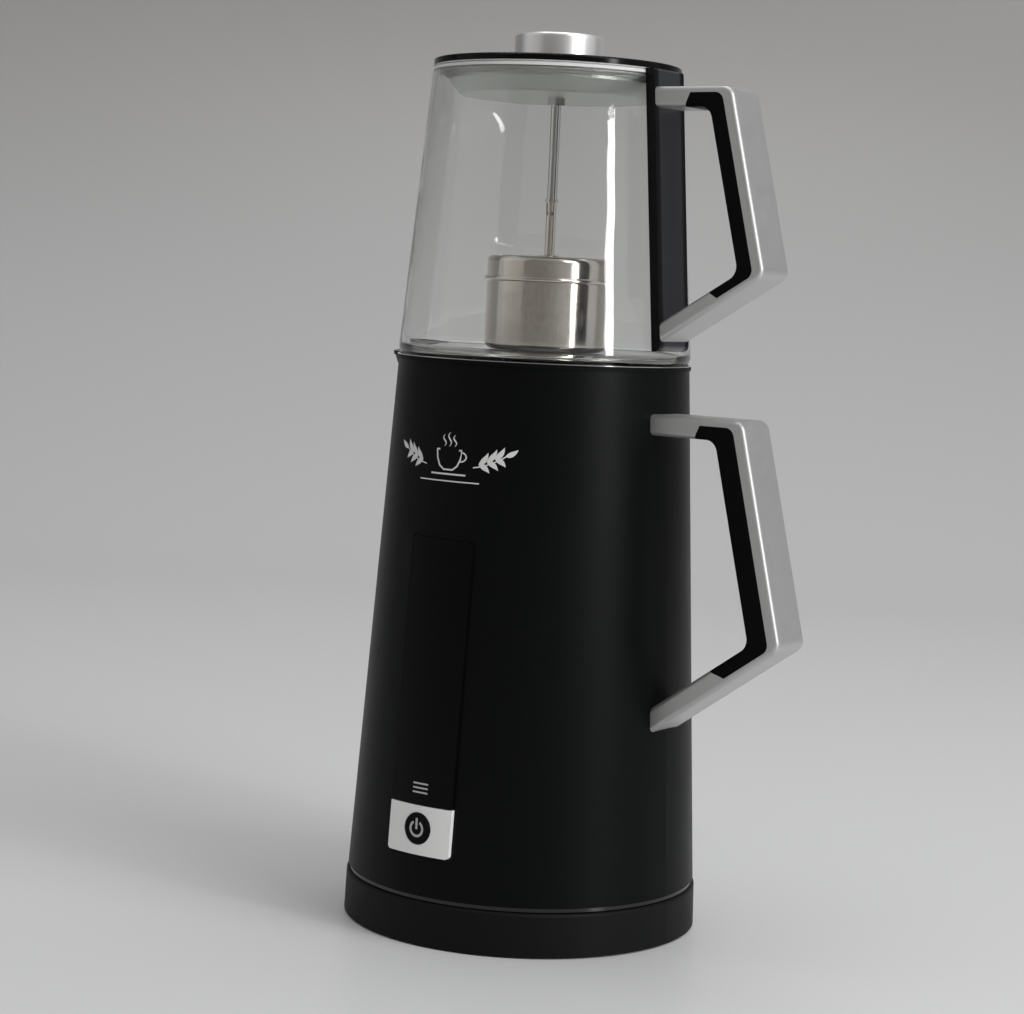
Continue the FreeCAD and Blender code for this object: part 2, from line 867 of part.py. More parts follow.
WIRE_SIDES = ("-wire_spacing", "0", "wire_spacing")
sleeve_span = ("contact_wall", "contact_floor", "pillar_top - contact_wall")
base_tabs = [
    cylinder(
        f"base_tab_{index}",
        "tab_radius",
        "tab_length",
        *behind("tab_distance", side),
        "flange_under - tab_length",
    )
    for index, side in enumerate(WIRE_SIDES, start=1)
]
node(
    group(
        "base_contact_set",
        sleeve("centre_sleeve", "sleeve_inner + contact_wall", *sleeve_span),
        sleeve("ring_sleeve", "groove_outer", *sleeve_span),
        *base_tabs,
    ),
    "base_contacts",
)
base_wires = [
    exit_rod(
        f"base_wire_{index}",
        "wire_radius",
        "tab_distance + tab_radius",
        "relief_inside - tab_distance - tab_radius",
        side,
    )
    for index, side in enumerate(WIRE_SIDES, start=1)
]
node(group("base_wire_set", *base_wires), "base_wires")

relief_tail = cone(
    "relief_tail",
    "relief_radius",
    "relief_tip",
    "relief_length",
    *behind("base_radius"),
    "exit_height",
    ALONG_EXIT,
)
node(
    fuse(
        "relief",
        exit_rod("relief_plate", "relief_flange", "relief_inside", "3"),
        exit_rod("relief_rod", "relief_neck", "relief_inside", "base_radius - relief_inside + 1"),
        relief_tail,
    ),
    "cord_strain_relief",
)

# The mains cord lies on the floor behind the base: a run from the strain relief, then the
# spare cord in flat turns, which ends in the plug.  The run's points are chosen by hand.
CORD_RADIUS = 3.5
COIL_CENTRE = ("cord_start + 64.5", "-39")
CORD_START = number("cord_start")
CORD_RUN = ((0.0, 0.0, 8.0), (13.5, 0.0, 8.0), (26.5, 0.0, 3.5), (40.0, 0.0, 3.5))
cord_points = [
    EXIT_FRAME.multVec(Vector(CORD_START + along, side, up)) for along, side, up in CORD_RUN
]
node(shaped("cord", round_tube(cord_points, CORD_RADIUS)), "mains_cord")

# The upper turn leaves the coil straight ahead.
TOP_TURN = 35.5
TOP_HEIGHT = "9.56"
LEAVE_AT = 230.0
LEAVE_WAY = LEAVE_AT - 90.0
ALONG_LEAVE = Rotation(Vector(0, 0, 1), LEAVE_WAY) * ALONG_EXIT


def past_coil(distance, side="0"):
    """A place at a distance past the point where the cord leaves the coil."""
    return behind(
        f"{COIL_CENTRE[0]} + {TOP_TURN} * cos({LEAVE_AT})"
        f" + ({distance}) * cos({LEAVE_WAY}) - ({side}) * sin({LEAVE_WAY})",
        f"{COIL_CENTRE[1]} + {TOP_TURN} * sin({LEAVE_AT})"
        f" + ({distance}) * sin({LEAVE_WAY}) + ({side}) * cos({LEAVE_WAY})",
    )


coil_outside = cylinder("coil_outside", "42.5", "13.1", *behind(*COIL_CENTRE))
coil_inside = cylinder("coil_inside", "28.5", "13.1", *behind(*COIL_CENTRE))
coil_ends = [
    exit_rod("coil_entry", str(CORD_RADIUS), "cord_start + 40", "24.5", "0", str(CORD_RADIUS)),
    cylinder("coil_leave", str(CORD_RADIUS), "29.5", *past_coil("0"), TOP_HEIGHT, ALONG_LEAVE),
]
node(fuse("coil", cut("coil_ring", coil_outside, coil_inside), *coil_ends), "cord_coil")

PLUG_DISTANCE = "58.5"
PIN_SIDES = ("-9.5", "9.5")
plug_disc = turned(
    "plug_disc",
    [("0", "0"), ("18.5", "0", "2.5"), ("18.5", "20"), ("16.5", "20"), ("16.5", "22", "1"), ("0", "22")],
)
stand_at(plug_disc, *past_coil(PLUG_DISTANCE))
plug_neck = cone("plug_neck", "5", "7.5", "22", *past_coil("29.5"), TOP_HEIGHT, ALONG_LEAVE)
plug_bores = [
    cylinder(f"plug_bore_{index}", "2.45", "6", *past_coil(PLUG_DISTANCE, side), "16")
    for index, side in enumerate(PIN_SIDES, start=1)
]
node(cut("plug", fuse("plug_solid", plug_disc, plug_neck), *plug_bores), "plug_body")
plug_pins = [
    turned(f"plug_pin_{index}", [("0", "16"), ("2.4", "16"), ("2.4", "41", "1.2"), ("0", "41")])
    for index in (1, 2)
]
for pin, side in zip(plug_pins, PIN_SIDES):
    stand_at(pin, *past_coil(PLUG_DISTANCE, side))
node(group("plug_pin_set", *plug_pins), "plug_pins")


# --------------------------------------------------------------------------------------
# Kettle: bottom, tank and rim
# --------------------------------------------------------------------------------------
def stud_at(name, radius, height, z):
    return ring_of(name, 3, 90.0, "stud_circle", radius, height, z)


kettle_cover_plate = turned(
    "kettle_cover_plate",
    [
        ("socket_inner + 1", "kettle_bottom"),
        ("spigot_outer - spigot_width", "kettle_bottom"),
        ("spigot_outer - spigot_width", "spigot_low"),
        ("spigot_outer", "spigot_low"),
        ("spigot_outer", "kettle_bottom"),
        ("cover_outer", "kettle_bottom"),
        ("cover_outer", "cover_wall_top"),
        ("cover_outer - cover_wall", "cover_wall_top"),
        ("cover_outer - cover_wall", "cover_floor"),
        ("socket_inner + 1", "cover_floor"),
    ],
)
cover_posts = stud_at("post", "stud_radius + post_wall", "stud_end - kettle_bottom", "kettle_bottom")
BOARD_MIDDLE = "-board_reach + board_thickness / 2"
board_posts = [
    block(
        f"board_post_{index}",
        "board_post",
        "board_thickness + board_post",
        "board_slot + board_post",
        side,
        BOARD_MIDDLE,
        "cover_floor",
    )
    for index, side in enumerate(("-board_width / 2", "board_width / 2"), start=1)
]
board_notch = block(
    "board_notch",
    "board_width + 2 * fit_gap",
    "board_thickness + 2 * fit_gap",
    "board_height",
    "0",
    BOARD_MIDDLE,
    "board_low",
)
node(
    cut(
        "kettle_cover",
        fuse("kettle_cover_solid", kettle_cover_plate, *cover_posts, *board_posts),
        *stud_at("post_bore", "kettle_screw + 2 * fit_gap", "stud_end", "kettle_bottom"),
        *stud_at("post_sink", "kettle_screw_head + fit_gap", "kettle_screw_seat", "kettle_bottom"),
        board_notch,
    ),
    "kettle_bottom_cover",
)
node(
    screws(
        "kettle_screw_set",
        stud_at,
        "screw_seat",
        "kettle_screw",
        "stud_end - screw_seat + kettle_screw_bite",
        "kettle_screw_head",
        "kettle_screw_cap",
    ),
    "kettle_bottom_screws",
)
node(
    sleeve("trim", "kettle_radius - trim_inset", "trim_wall", "kettle_bottom", "shell_bottom"),
    "kettle_trim_ring",
)

SPOUT = ("spout_tip", "spout_foot_tip", "spout_length", "spout_width")
tank_solids = [
    turned(
        f"tank_{part}",
        [
            ("0", f"tank_floor + {inset}"),
            (f"tank_low_radius - {inset}", f"tank_floor + {inset}", f"tank_corner - {inset}"),
            (f"tank_top_radius - {inset}", "ledge_bottom"),
            ("0", "ledge_bottom"),
        ],
    )
    for part, inset in (("outside", "0"), ("inside", "tank_wall"))
]
tank_spouts = [
    beak(f"tank_spout_{part}", "ledge_bottom", "spout_foot", *SPOUT, inset)
    for part, inset in (("outside", "spout_skin"), ("inside", "(spout_skin + tank_wall)"))
]
tank_studs = stud_at("tank_stud", "stud_radius", "stud_length", "stud_end")
stud_bores = stud_at(
    "stud_bore", "kettle_screw + running_gap", "kettle_screw_bite + post_wall", "stud_end"
)
node(
    cut(
        "tank",
        fuse("tank_solid", tank_solids[0], tank_spouts[0], *tank_studs),
        tank_solids[1],
        tank_spouts[1],
        *stud_bores,
    ),
    "kettle_tank",
)

rim_band = cut(
    "rim_band",
    mouth("rim_outside", "shell_top", "rim_top", "rim_overhang"),
    mouth("rim_inside", "ledge_top", "rim_top", "rim_overhang - rim_bead"),
)
rim_plug = mouth("rim_plug", "ledge_bottom", "shell_top", "-(shell_wall + fit_gap)")
node(
    cut(
        "rim",
        fuse("rim_solid", rim_band, rim_plug),
        cylinder("rim_mouth", "mouth_radius", "ledge_thickness", z="ledge_bottom"),
        nose("rim_pour", "ledge_bottom", "ledge_top", "-(spout_skin + tank_wall)"),
    ),
    "kettle_rim",
)

# --------------------------------------------------------------------------------------
# Kettle: heater, connector and controls
# --------------------------------------------------------------------------------------
ELEMENT_SWEEP = 300.0
ELEMENT_START = -60.0
LEG_INSET = 6.0
LEG_ANGLES = (ELEMENT_START + LEG_INSET, ELEMENT_START + ELEMENT_SWEEP - LEG_INSET)

node(cylinder("spreader", "plate_radius", "plate_thickness", z="plate_under"), "heating_plate")
element_ring = doc.addObject("Part::Torus", "element_ring")
bind(element_ring, Radius1="element_circle", Radius2="element_tube")
element_ring.Angle3 = ELEMENT_SWEEP
stand_at(element_ring, z="element_height", rotation=Rotation(Vector(0, 0, 1), ELEMENT_START))
element_legs = [
    cylinder(
        f"element_leg_{index}",
        "element_leg_radius",
        "element_leg",
        f"element_circle * cos({angle})",
        f"element_circle * sin({angle})",
        "leg_end",
    )
    for index, angle in enumerate(LEG_ANGLES, start=1)
]
node(fuse("element", element_ring, *element_legs), "heating_element")

thermostat_body = cylinder(
    "thermostat_body", "thermostat_radius", "thermostat_height", z="thermostat_low"
)
thermostat_tabs = [
    block(
        f"thermostat_tab_{index}",
        "0.8",
        "4",
        "thermostat_tab + 1",
        side,
        "0",
        "thermostat_low - thermostat_tab",
    )
    for index, side in enumerate(("-thermostat_radius / 2", "thermostat_radius / 2"), start=1)
]
node(fuse("thermostat_solid", thermostat_body, *thermostat_tabs), "thermostat")
fuse_tube = cylinder(
    "fuse_tube",
    "fuse_radius",
    "fuse_length",
    "-fuse_length / 2",
    "element_circle / 2",
    "plate_under - fuse_radius",
    ALONG_X,
)
fuse_clip = block(
    "fuse_clip",
    "fuse_length / 3",
    "2 * fuse_radius + 2",
    "fuse_radius",
    "0",
    "element_circle / 2",
    "plate_under - fuse_radius",
)
node(fuse("fuse_solid", fuse_tube, fuse_clip), "thermal_fuse")
node(
    cylinder(
        "sensor",
        "sensor_radius",
        "sensor_length",
        "element_circle * 0.4",
        "-element_circle * 0.4",
        "plate_under - sensor_length",
    ),
    "temperature_sensor",
)

ring_bore_inner = "ring_radius - contact_wall - running_gap"
node(
    turned(
        "socket",
        [
            ("pin_radius + running_gap", "socket_ceiling"),
            (ring_bore_inner, "socket_ceiling"),
            (ring_bore_inner, "contact_high + fit_gap"),
            ("ring_radius + running_gap", "contact_high + fit_gap"),
            ("ring_radius + running_gap", "socket_ceiling"),
            ("socket_inner", "socket_ceiling"),
            ("socket_inner", "cover_floor"),
            ("socket_outer + socket_flange", "cover_floor"),
            ("socket_outer + socket_flange", "cover_floor + socket_flange / 2"),
            ("socket_outer", "cover_floor + socket_flange / 2"),
            ("socket_outer", "socket_top"),
            ("pin_radius + running_gap", "socket_top"),
        ],
    ),
    "kettle_connector",
)
centre_pin = turned(
    "centre_pin",
    [
        ("0", "contact_low"),
        ("pin_radius", "contact_low", "contact_wall"),
        ("pin_radius", "contact_high"),
        ("0", "contact_high"),
    ],
)
ring_contact = sleeve("ring_contact", "ring_radius", "contact_wall", "contact_low", "contact_high")
node(group("kettle_contact_set", centre_pin, ring_contact), "kettle_contacts")
terminals = [
    block(f"terminal_{index}", "0.8", "6.3", "terminal_length", side, "0", "socket_top")
    for index, side in enumerate(("-socket_outer / 2", "socket_outer / 2"), start=1)
]
node(group("terminal_set", *terminals), "kettle_terminals")

node(
    block("board", "board_width", "board_thickness", "board_height", "0", BOARD_MIDDLE, "board_low"),
    "control_board",
)
node(
    block(
        "relay_case",
        "relay_width",
        "relay_depth",
        "relay_height",
        "-board_width / 6",
        "-board_reach + board_thickness + relay_depth / 2",
        "board_low + relay_height / 2",
    ),
    "relay",
)
switch_case = block(
    "switch_case",
    "switch_size",
    "switch_depth",
    "switch_size",
    "0",
    "-board_reach - switch_depth / 2",
    "button_height - switch_size / 2",
)
switch_bore = cylinder(
    "switch_bore",
    "plunger_radius + fit_gap",
    "switch_depth - 0.5",
    "0",
    "-switch_face",
    "button_height",
    ALONG_Y,
)
node(cut("switch", switch_case, switch_bore), "push_switch")
node(
    cylinder(
        "plunger",
        "plunger_radius",
        "plunger_reach + plunger_inside",
        "0",
        "-plunger_face",
        "button_height",
        ALONG_Y,
    ),
    "switch_plunger",
)

# Hook-up wires between the terminals, the thermostat, the element and the relay.
doc.recompute()
wire = number("hook_wire")
terminal_x = number("socket_outer") / 2
terminal_z = number("socket_top") + number("terminal_length") + wire
tab_x = number("thermostat_radius") / 2
tab_z = number("thermostat_low") - number("thermostat_tab") - wire
leg_x = number("element_circle") * math.cos(math.radians(LEG_ANGLES[0]))
leg_y = number("element_circle") * math.sin(math.radians(LEG_ANGLES[0]))
leg_z = number("leg_end") - wire
relay_x = -number("board_width") / 6
relay_y = -number("board_reach") + number("board_thickness") + number("relay_depth") / 2
relay_z = number("board_low") + 1.5 * number("relay_height") + wire
WIRE_STOPS = {
    "thermostat_wire": (
        (terminal_x, 0, terminal_z),
        (terminal_x, 6, terminal_z),
        (tab_x, 6, tab_z),
        (tab_x, 0, tab_z),
    ),
    "element_wire": ((-tab_x, 0, tab_z), (-tab_x, -10, tab_z), (-leg_x, leg_y, leg_z)),
    "relay_wire": (
        (-terminal_x, 0, terminal_z),
        (-terminal_x, -14, terminal_z),
        (relay_x, relay_y + 8, relay_z),
        (relay_x, relay_y, relay_z),
    ),
    "relay_element_wire": (
        (relay_x + 4, relay_y, relay_z),
        (relay_x + 12, relay_y, relay_z),
        (leg_x, leg_y, leg_z),
    ),
}
hook_up_wires = [
    shaped(name, round_tube([Vector(*stop) for stop in stops], wire))
    for name, stops in WIRE_STOPS.items()
]
node(group("kettle_wire_set", *hook_up_wires), "kettle_wires")

# --------------------------------------------------------------------------------------
# Control panel
# --------------------------------------------------------------------------------------
button_axis = ("0", "-button_face", "button_height")

tray = common(
    "tray",
    wall_layer("tray_layer", "-panel_seat", "-tray_depth"),
    front_prism(
        "tray_prism",
        "window_half - fit_gap",
        "window_bottom + fit_gap",
        "window_top - fit_gap",
        "plate_round + panel_gap - fit_gap",
        "cover_round + panel_gap - fit_gap",
    ),
)
tray_flange = common(
    "tray_flange",
    wall_layer("flange_layer", "-(shell_wall + running_gap)", "-tray_depth"),
    front_prism(
        "flange_prism",
        "window_half + tray_lip",
        "window_bottom - tray_lip",
        "window_top + tray_lip",
        "plate_round + panel_gap + tray_lip",
        "cover_round + panel_gap + tray_lip",
    ),
)
tray_hole = cylinder(
    "tray_hole", "button_radius + button_flange + 0.4", "4 * tray_depth", *button_axis, ALONG_Y
)
node(cut("panel_tray", fuse("tray_solid", tray, tray_flange), tray_hole), "panel_frame")
node(
    common(
        "cover",
        wall_layer("cover_layer", "panel_proud", "running_gap - panel_seat"),
        front_prism("cover_prism", "panel_half", "cover_bottom", "panel_top", "panel_seat", "cover_round"),
    ),
    "panel_cover",
)
plate_solid = common(
    "plate_solid",
    wall_layer("plate_layer", "panel_proud", "running_gap - panel_seat"),
    front_prism("plate_prism", "panel_half", "panel_bottom", "plate_top", "plate_round", "panel_seat"),
)
plate_hole = cylinder(
    "plate_hole", "button_radius + button_gap", "4 * tray_depth", *button_axis, ALONG_Y
)
node(cut("plate", plate_solid, plate_hole), "button_plate")

button_depth = "button_face - button_shoulder"
button = turned(
    "button",
    [
        ("0", "0"),
        ("button_radius", "0", "button_edge"),
        ("button_radius", button_depth),
        ("button_radius + button_flange", button_depth),
        ("button_radius + button_flange", f"{button_depth} + button_flange_thickness"),
        ("button_stem", f"{button_depth} + button_flange_thickness"),
        ("button_stem", "button_face - plunger_face"),
        ("0", "button_face - plunger_face"),
    ],
)
node(stand_at(button, *button_axis, ALONG_Y), "power_button")


# --------------------------------------------------------------------------------------
# Handles and the kettle's shell
# --------------------------------------------------------------------------------------
def handle_places(part, hang, wall_top, wall_at):
    """The corners of a handle's outline, from its sizes and from the wall it stands on."""
    size = f"{part}_handle_"
    place(f"{part}_top", f"{hang} - {size}drop")
    place(f"{part}_corner", f"{wall_top} + {size}reach")
    place(f"{part}_low_x", f"{part}_corner + {size}lean")
    place(f"{part}_low_z", f"{part}_top - {size}length")
    place(f"{part}_foot_z", f"{part}_top - {size}span")
    place(f"{part}_foot_x", wall_at(f"{part}_foot_z"))
    place(f"{part}_lean", f"{size}lean / {size}length")
    place(f"{part}_rise", f"({part}_low_z - {part}_foot_z) / ({part}_low_x - {part}_foot_x)")
    mitre = f"(1 + {part}_lean * {part}_rise)"
    place(f"{part}_skin_in", f"({size}bar + {size}low_skin * {part}_lean) / {mitre}")
    place(f"{part}_palm_in", f"({size}bar + {size}grip + {size}low_arm * {part}_lean) / {mitre}")
    place(f"{part}_screw_1_z", f"{part}_top - {size}arm / 2")
    place(f"{part}_screw_2_z", f"{part}_foot_z + {size}screw_rise")
    place(f"{part}_screw_1_x", wall_at(f"{part}_screw_1_z"))
    place(f"{part}_screw_2_x", wall_at(f"{part}_screw_2_z"))


def handle_outlines(part):
    """The corners of the metal frame and of the black grip on its inner side."""
    size = f"{part}_handle_"
    top = f"{part}_top"
    arm_under = f"{top} - {size}arm"
    start = f"{part}_corner - {size}start"
    high_root = f"{part}_screw_1_x - 2 * {size}bar"
    low_root = f"{part}_low_x - {part}_foot_x + 2 * {size}bar"

    def on_low_arm(inward, lift):
        return (f"{part}_low_x - ({inward})", f"{part}_low_z + {lift} - {part}_rise * ({inward})")

    def on_bar(inward, drop):
        return (f"{part}_corner - ({inward}) + {part}_lean * {drop}", f"{top} - {drop}")

    end_inner = on_low_arm(f"{size}end", f"{size}low_arm")
    end_outer = on_low_arm(f"{size}end - {size}end_cut", f"{size}low_skin")
    skin_low = (*on_low_arm(f"{part}_skin_in", f"{size}low_skin"), "grip_corner")
    skin_high = (*on_bar(f"{size}bar", f"{size}skin"), "grip_corner")
    palm_low = (*on_low_arm(f"{part}_palm_in", f"{size}low_arm"), "palm_corner")
    palm_high = (*on_bar(f"{size}bar + {size}grip", f"{size}arm"), "palm_corner")
    grip_start = (start, f"{top} - {size}skin")
    grip_start_under = (f"{start} - grip_slant", arm_under)
    frame = [
        (high_root, top),
        (f"{part}_corner", top, "handle_corner"),
        (f"{part}_low_x", f"{part}_low_z", "handle_corner"),
        on_low_arm(low_root, "0"),
        on_low_arm(low_root, f"{size}low_arm"),
        end_inner,
        end_outer,
        skin_low,
        skin_high,
        grip_start,
        grip_start_under,
        (high_root, arm_under),
    ]
    grip = [grip_start, skin_high, skin_low, end_outer, end_inner, palm_low, palm_high, grip_start_under]
    return frame, grip


def handle_rods(name, part, radius, start, length):
    """Two cylinders along +X on the axes of a handle's screws, from start off the wall."""
    return [
        cylinder(
            f"{name}_{index}",
            radius,
            length,
            f"{part}_screw_{index}_x + ({start})",
            "0",
            f"{part}_screw_{index}_z",
            ALONG_X,
        )
        for index in (1, 2)
    ]


def handle(part, wall, head_start):
    """The frame, cut to its wall and bored for its screws, the grip and the screws."""
    size = f"{part}_handle_"
    frame_corners, grip_corners = handle_outlines(part)
    frame = side_plate(f"{part}_frame", frame_corners, "handle_width", long_sides=(0, 4, 10))
    bores = handle_rods(
        f"{part}_frame_bore", part, f"{size}screw + running_gap", "-1", "handle_screw_bite + 2"
    )
    grip = side_plate(f"{part}_grip", grip_corners, "handle_width", long_sides=(6,))
    heads = handle_rods(f"{part}_head", part, f"{size}screw_head", head_start, f"{size}screw_cap")
    shanks = handle_rods(
        f"{part}_shank", part, f"{size}screw", head_start, f"handle_screw_bite - ({head_start})"
    )
    pairs = enumerate(zip(heads, shanks), start=1)
    set_of_two = [fuse(f"{part}_screw_{index}", *pair) for index, pair in pairs]
    node(cut(f"{part}_frame_cut", frame, wall, *bores), f"{part}_handle_frame")
    node(grip, f"{part}_handle_grip")
    node(group(f"{part}_screw_set", *set_of_two), f"{part}_handle_screws")


handle_places("kettle", "rim_top", "kettle_top_radius", shell_radius)
kettle_wall = cone(
    "kettle_wall",
    "kettle_radius + fit_gap",
    "kettle_top_radius + fit_gap",
    "kettle_height",
    z="shell_bottom",
)
handle("kettle", kettle_wall, "-(shell_wall + 0.4 + kettle_handle_screw_cap)")

shell_cones = [
    cone(
        f"shell_{part}",
        f"kettle_radius - {inset}",
        f"kettle_top_radius - {inset}",
        "kettle_height",
        z="shell_bottom",
    )
    for part, inset in (("outside", "0"), ("inside", "shell_wall"))
]
shell_spouts = [
    beak(f"spout_{part}", "shell_top", "spout_foot", *SPOUT, inset)
    for part, inset in (("outside", "0"), ("inside", "shell_wall"))
]
window = front_prism(
    "window",
    "window_half",
    "window_bottom",
    "window_top",
    "plate_round + panel_gap",
    "cover_round + panel_gap",
)
shell_bores = handle_rods(
    "shell_bore", "kettle", "kettle_handle_screw + fit_gap", "-2 * shell_wall", "3 * shell_wall"
)
node(
    cut(
        "shell",
        fuse("shell_solid", shell_cones[0], shell_spouts[0]),
        shell_cones[1],
        shell_spouts[1],
        window,
        *shell_bores,
    ),
    "kettle_shell",
)

handle_places("teapot", "glass_top", "glass_top_radius", strip_front)
space_low = "strip_bottom - strip_rise"
space_high = "strip_top + strip_rise"
strip_space = side_plate(
    "strip_space",
    [
        ("0", space_low),
        (f"{strip_front(space_low)} + fit_gap", space_low),
        (f"{strip_front(space_high)} + fit_gap", space_high),
        ("0", space_high),
    ],
    "2 * handle_width",
)
handle("teapot", strip_space, "-(strip_proud - 0.25)")

# --------------------------------------------------------------------------------------
# Glass teapot
# --------------------------------------------------------------------------------------
glass_outside = turned(
    "glass_outside",
    [
        ("0", "glass_bottom"),
        ("glass_radius", "glass_bottom", "glass_corner"),
        ("glass_top_radius", "glass_top"),
        ("0", "glass_top"),
    ],
)
glass_cavity = turned(
    "glass_cavity",
    [
        ("0", "glass_inside"),
        (f"{glass_radius_at('glass_inside')} - glass_wall", "glass_inside", "glass_floor"),
        ("glass_top_radius - glass_wall", "glass_top"),
        ("0", "glass_top"),
    ],
)
lips = [
    beak(
        f"lip_{part}",
        "glass_top",
        "lip_foot",
        "lip_tip",
        "lip_foot_tip",
        "lip_length",
        "lip_width",
        inset,
    )
    for part, inset in (("outside", "0"), ("inside", "glass_wall"))
]
node(
    cut("glass", fuse("glass_solid", glass_outside, lips[0]), glass_cavity, lips[1]),
    "teapot_glass",
)

strip_blank = side_plate(
    "strip_blank",
    [
        (f"{glass_radius_at('strip_bottom')} - 2 * strip_proud", "strip_bottom"),
        (strip_front("strip_bottom"), "strip_bottom", "strip_round"),
        (strip_front("strip_top"), "strip_top", "strip_round / 2"),
        (f"{glass_radius_at('strip_top')} - 2 * strip_proud", "strip_top"),
    ],
    "handle_width",
)
glass_space = cone(
    "glass_space",
    "glass_radius + fit_gap",
    f"{glass_radius_at('glass_top + strip_rise')} + fit_gap",
    "glass_height + strip_rise",
    z="glass_bottom",
)
strip_sinks = handle_rods(
    "strip_sink",
    "teapot",
    "teapot_handle_screw_head + fit_gap",
    "-2 * strip_proud",
    "strip_proud + 0.3 + teapot_handle_screw_cap",
)
strip_bores = handle_rods(
    "strip_bore", "teapot", "teapot_handle_screw + fit_gap", "-2 * strip_proud", "3 * strip_proud"
)
node(cut("strip", strip_blank, glass_space, *strip_sinks, *strip_bores), "handle_strip")

# --------------------------------------------------------------------------------------
# Lid
# --------------------------------------------------------------------------------------
PIN_TURN = -60.0
ALONG_PIN = Rotation(Vector(0, 0, 1), PIN_TURN) * ALONG_X

node(
    turned(
        "disc",
        [
            ("lid_bore", "lid_under"),
            ("lid_radius", "lid_under"),
            ("lid_radius", "lid_top", "lid_edge"),
            ("lid_bore", "lid_top"),
        ],
    ),
    "lid_disc",
)
node(
    turned(
        "gasket",
        [
            ("cup_radius + fit_gap", "gasket_bottom"),
            ("gasket_radius", "gasket_bottom"),
            ("gasket_radius", "gasket_lip_low - gasket_lip_thickness"),
            ("gasket_lip", "gasket_lip_low"),
            ("gasket_lip", "gasket_lip_low + gasket_lip_thickness"),
            ("gasket_radius", "gasket_lip_low + gasket_lip_thickness"),
            ("gasket_radius", "lid_under - gasket_flange"),
            ("gasket_flange_radius", "lid_under - gasket_flange"),
            ("gasket_flange_radius", "lid_under"),
            ("cup_radius + fit_gap", "lid_under"),
        ],
    ),
    "lid_gasket",
)
node(
    turned(
        "cup",
        [
            ("cup_radius", "lid_under"),
            ("cup_radius", "cup_waist"),
            ("cup_floor_radius", "cup_bottom", "cup_corner"),
            ("lid_bore", "cup_bottom"),
            ("lid_bore", "cup_bottom + cup_wall"),
            ("cup_floor_radius - 0.75 * cup_wall", "cup_bottom + cup_wall"),
            ("cup_radius - cup_wall", "cup_waist + cup_wall / 3"),
            ("cup_radius - cup_wall", "lid_under"),
        ],
    ),
    "lid_inner_cup",
)
node(
    turned(
        "knob",
        [
            ("rod_radius + running_gap", "lid_top"),
            ("knob_boss", "lid_top"),
            ("knob_boss", "knob_top - knob_wall"),
            ("knob_radius - knob_wall", "knob_top - knob_wall"),
            ("knob_radius - knob_wall", "lid_top"),
            ("knob_radius", "lid_top"),
            ("knob_radius", "knob_top", "knob_edge"),
            ("0", "knob_top"),
            ("0", "rod_top + 0.5"),
            ("rod_radius + running_gap", "rod_top + 0.5"),
        ],
    ),
    "lid_knob",
)


def cross_rod(name, radius, start, end):
    """A cylinder along the bayonet pin's axis, between two distances from the rod's axis."""
    return cylinder(
        name,
        radius,
        f"{end} + {start}",
        f"-({start}) * cos({PIN_TURN})",
        f"-({start}) * sin({PIN_TURN})",
        "bayonet_height",
        ALONG_PIN,
    )


rod_blank = turned(
    "rod_blank",
    [
        ("0", "rod_tip"),
        ("spigot_radius", "rod_tip"),
        ("spigot_radius", "collar_low"),
        ("collar_radius", "collar_low"),
        ("collar_radius", "collar_top"),
        ("rod_radius", "collar_top"),
        ("rod_radius", "rod_top"),
        ("0", "rod_top"),
    ],
)
pin_seat = cross_rod(
    "pin_seat", "bayonet_pin + running_gap", "spigot_radius / 2 + fit_gap", "2 * spigot_radius"
)
node(cut("rod", rod_blank, pin_seat), "lid_rod")
node(cross_rod("pin", "bayonet_pin", "spigot_radius / 2", "bayonet_reach"), "bayonet_pin")

nut_body = doc.addObject("Part::Prism", "nut_body")
nut_body.Polygon = 6
bind(nut_body, Circumradius="rod_nut_flats / 2 / cos(30)", Height="rod_nut")
stand_at(nut_body, z="cup_bottom - rod_nut")
nut_bore = cylinder("nut_bore", "rod_radius + running_gap", "rod_nut", z="cup_bottom - rod_nut")
node(cut("nut", nut_body, nut_bore), "rod_nut")

# --------------------------------------------------------------------------------------
# Infuser
# --------------------------------------------------------------------------------------
SLOT_START = -146.0
SLOT_SWEEP = 112.0
SLOT_EXIT = -120.0

tube_blank = turned(
    "tube_blank",
    [
        ("tube_bore", "cap_top"),
        ("tube_flange", "cap_top"),
        ("tube_flange", "cap_top + tube_flange_thickness"),
        ("tube_outer", "cap_top + tube_flange_thickness"),
        ("tube_outer", "tube_top"),
        ("tube_bore", "tube_top"),
    ],
)
slot_sector = cylinder(
    "slot_sector",
    "tube_flange",
    "slot_height",
    z="slot_low",
    rotation=Rotation(Vector(0, 0, 1), SLOT_START),
)
slot_sector.Angle = SLOT_SWEEP
slot_exit = doc.addObject("Part::Box", "slot_exit")
bind(slot_exit, Length="tube_flange", Width="slot_height", Height="tube_top - slot_low")
stand_at(
    slot_exit,
    f"slot_height / 2 * sin({SLOT_EXIT})",
    f"-slot_height / 2 * cos({SLOT_EXIT})",
    "slot_low",
    Rotation(Vector(0, 0, 1), SLOT_EXIT),
)
node(cut("tube", tube_blank, slot_sector, slot_exit), "infuser_tube")
node(
    turned(
        "cap",
        [
            ("0", "cap_top - infuser_wall"),
            ("cap_inner", "cap_top - infuser_wall", "cap_round - infuser_wall"),
            ("cap_inner", "bead_bottom"),
            ("bead_outer", "bead_bottom", "bead_height * 0.4"),
            ("bead_outer", "bead_top", "bead_height * 0.4"),
            ("infuser_radius", "bead_top"),
            ("infuser_radius", "cap_top", "cap_round"),
            ("0", "cap_top"),
        ],
    ),
    "infuser_cap",
)

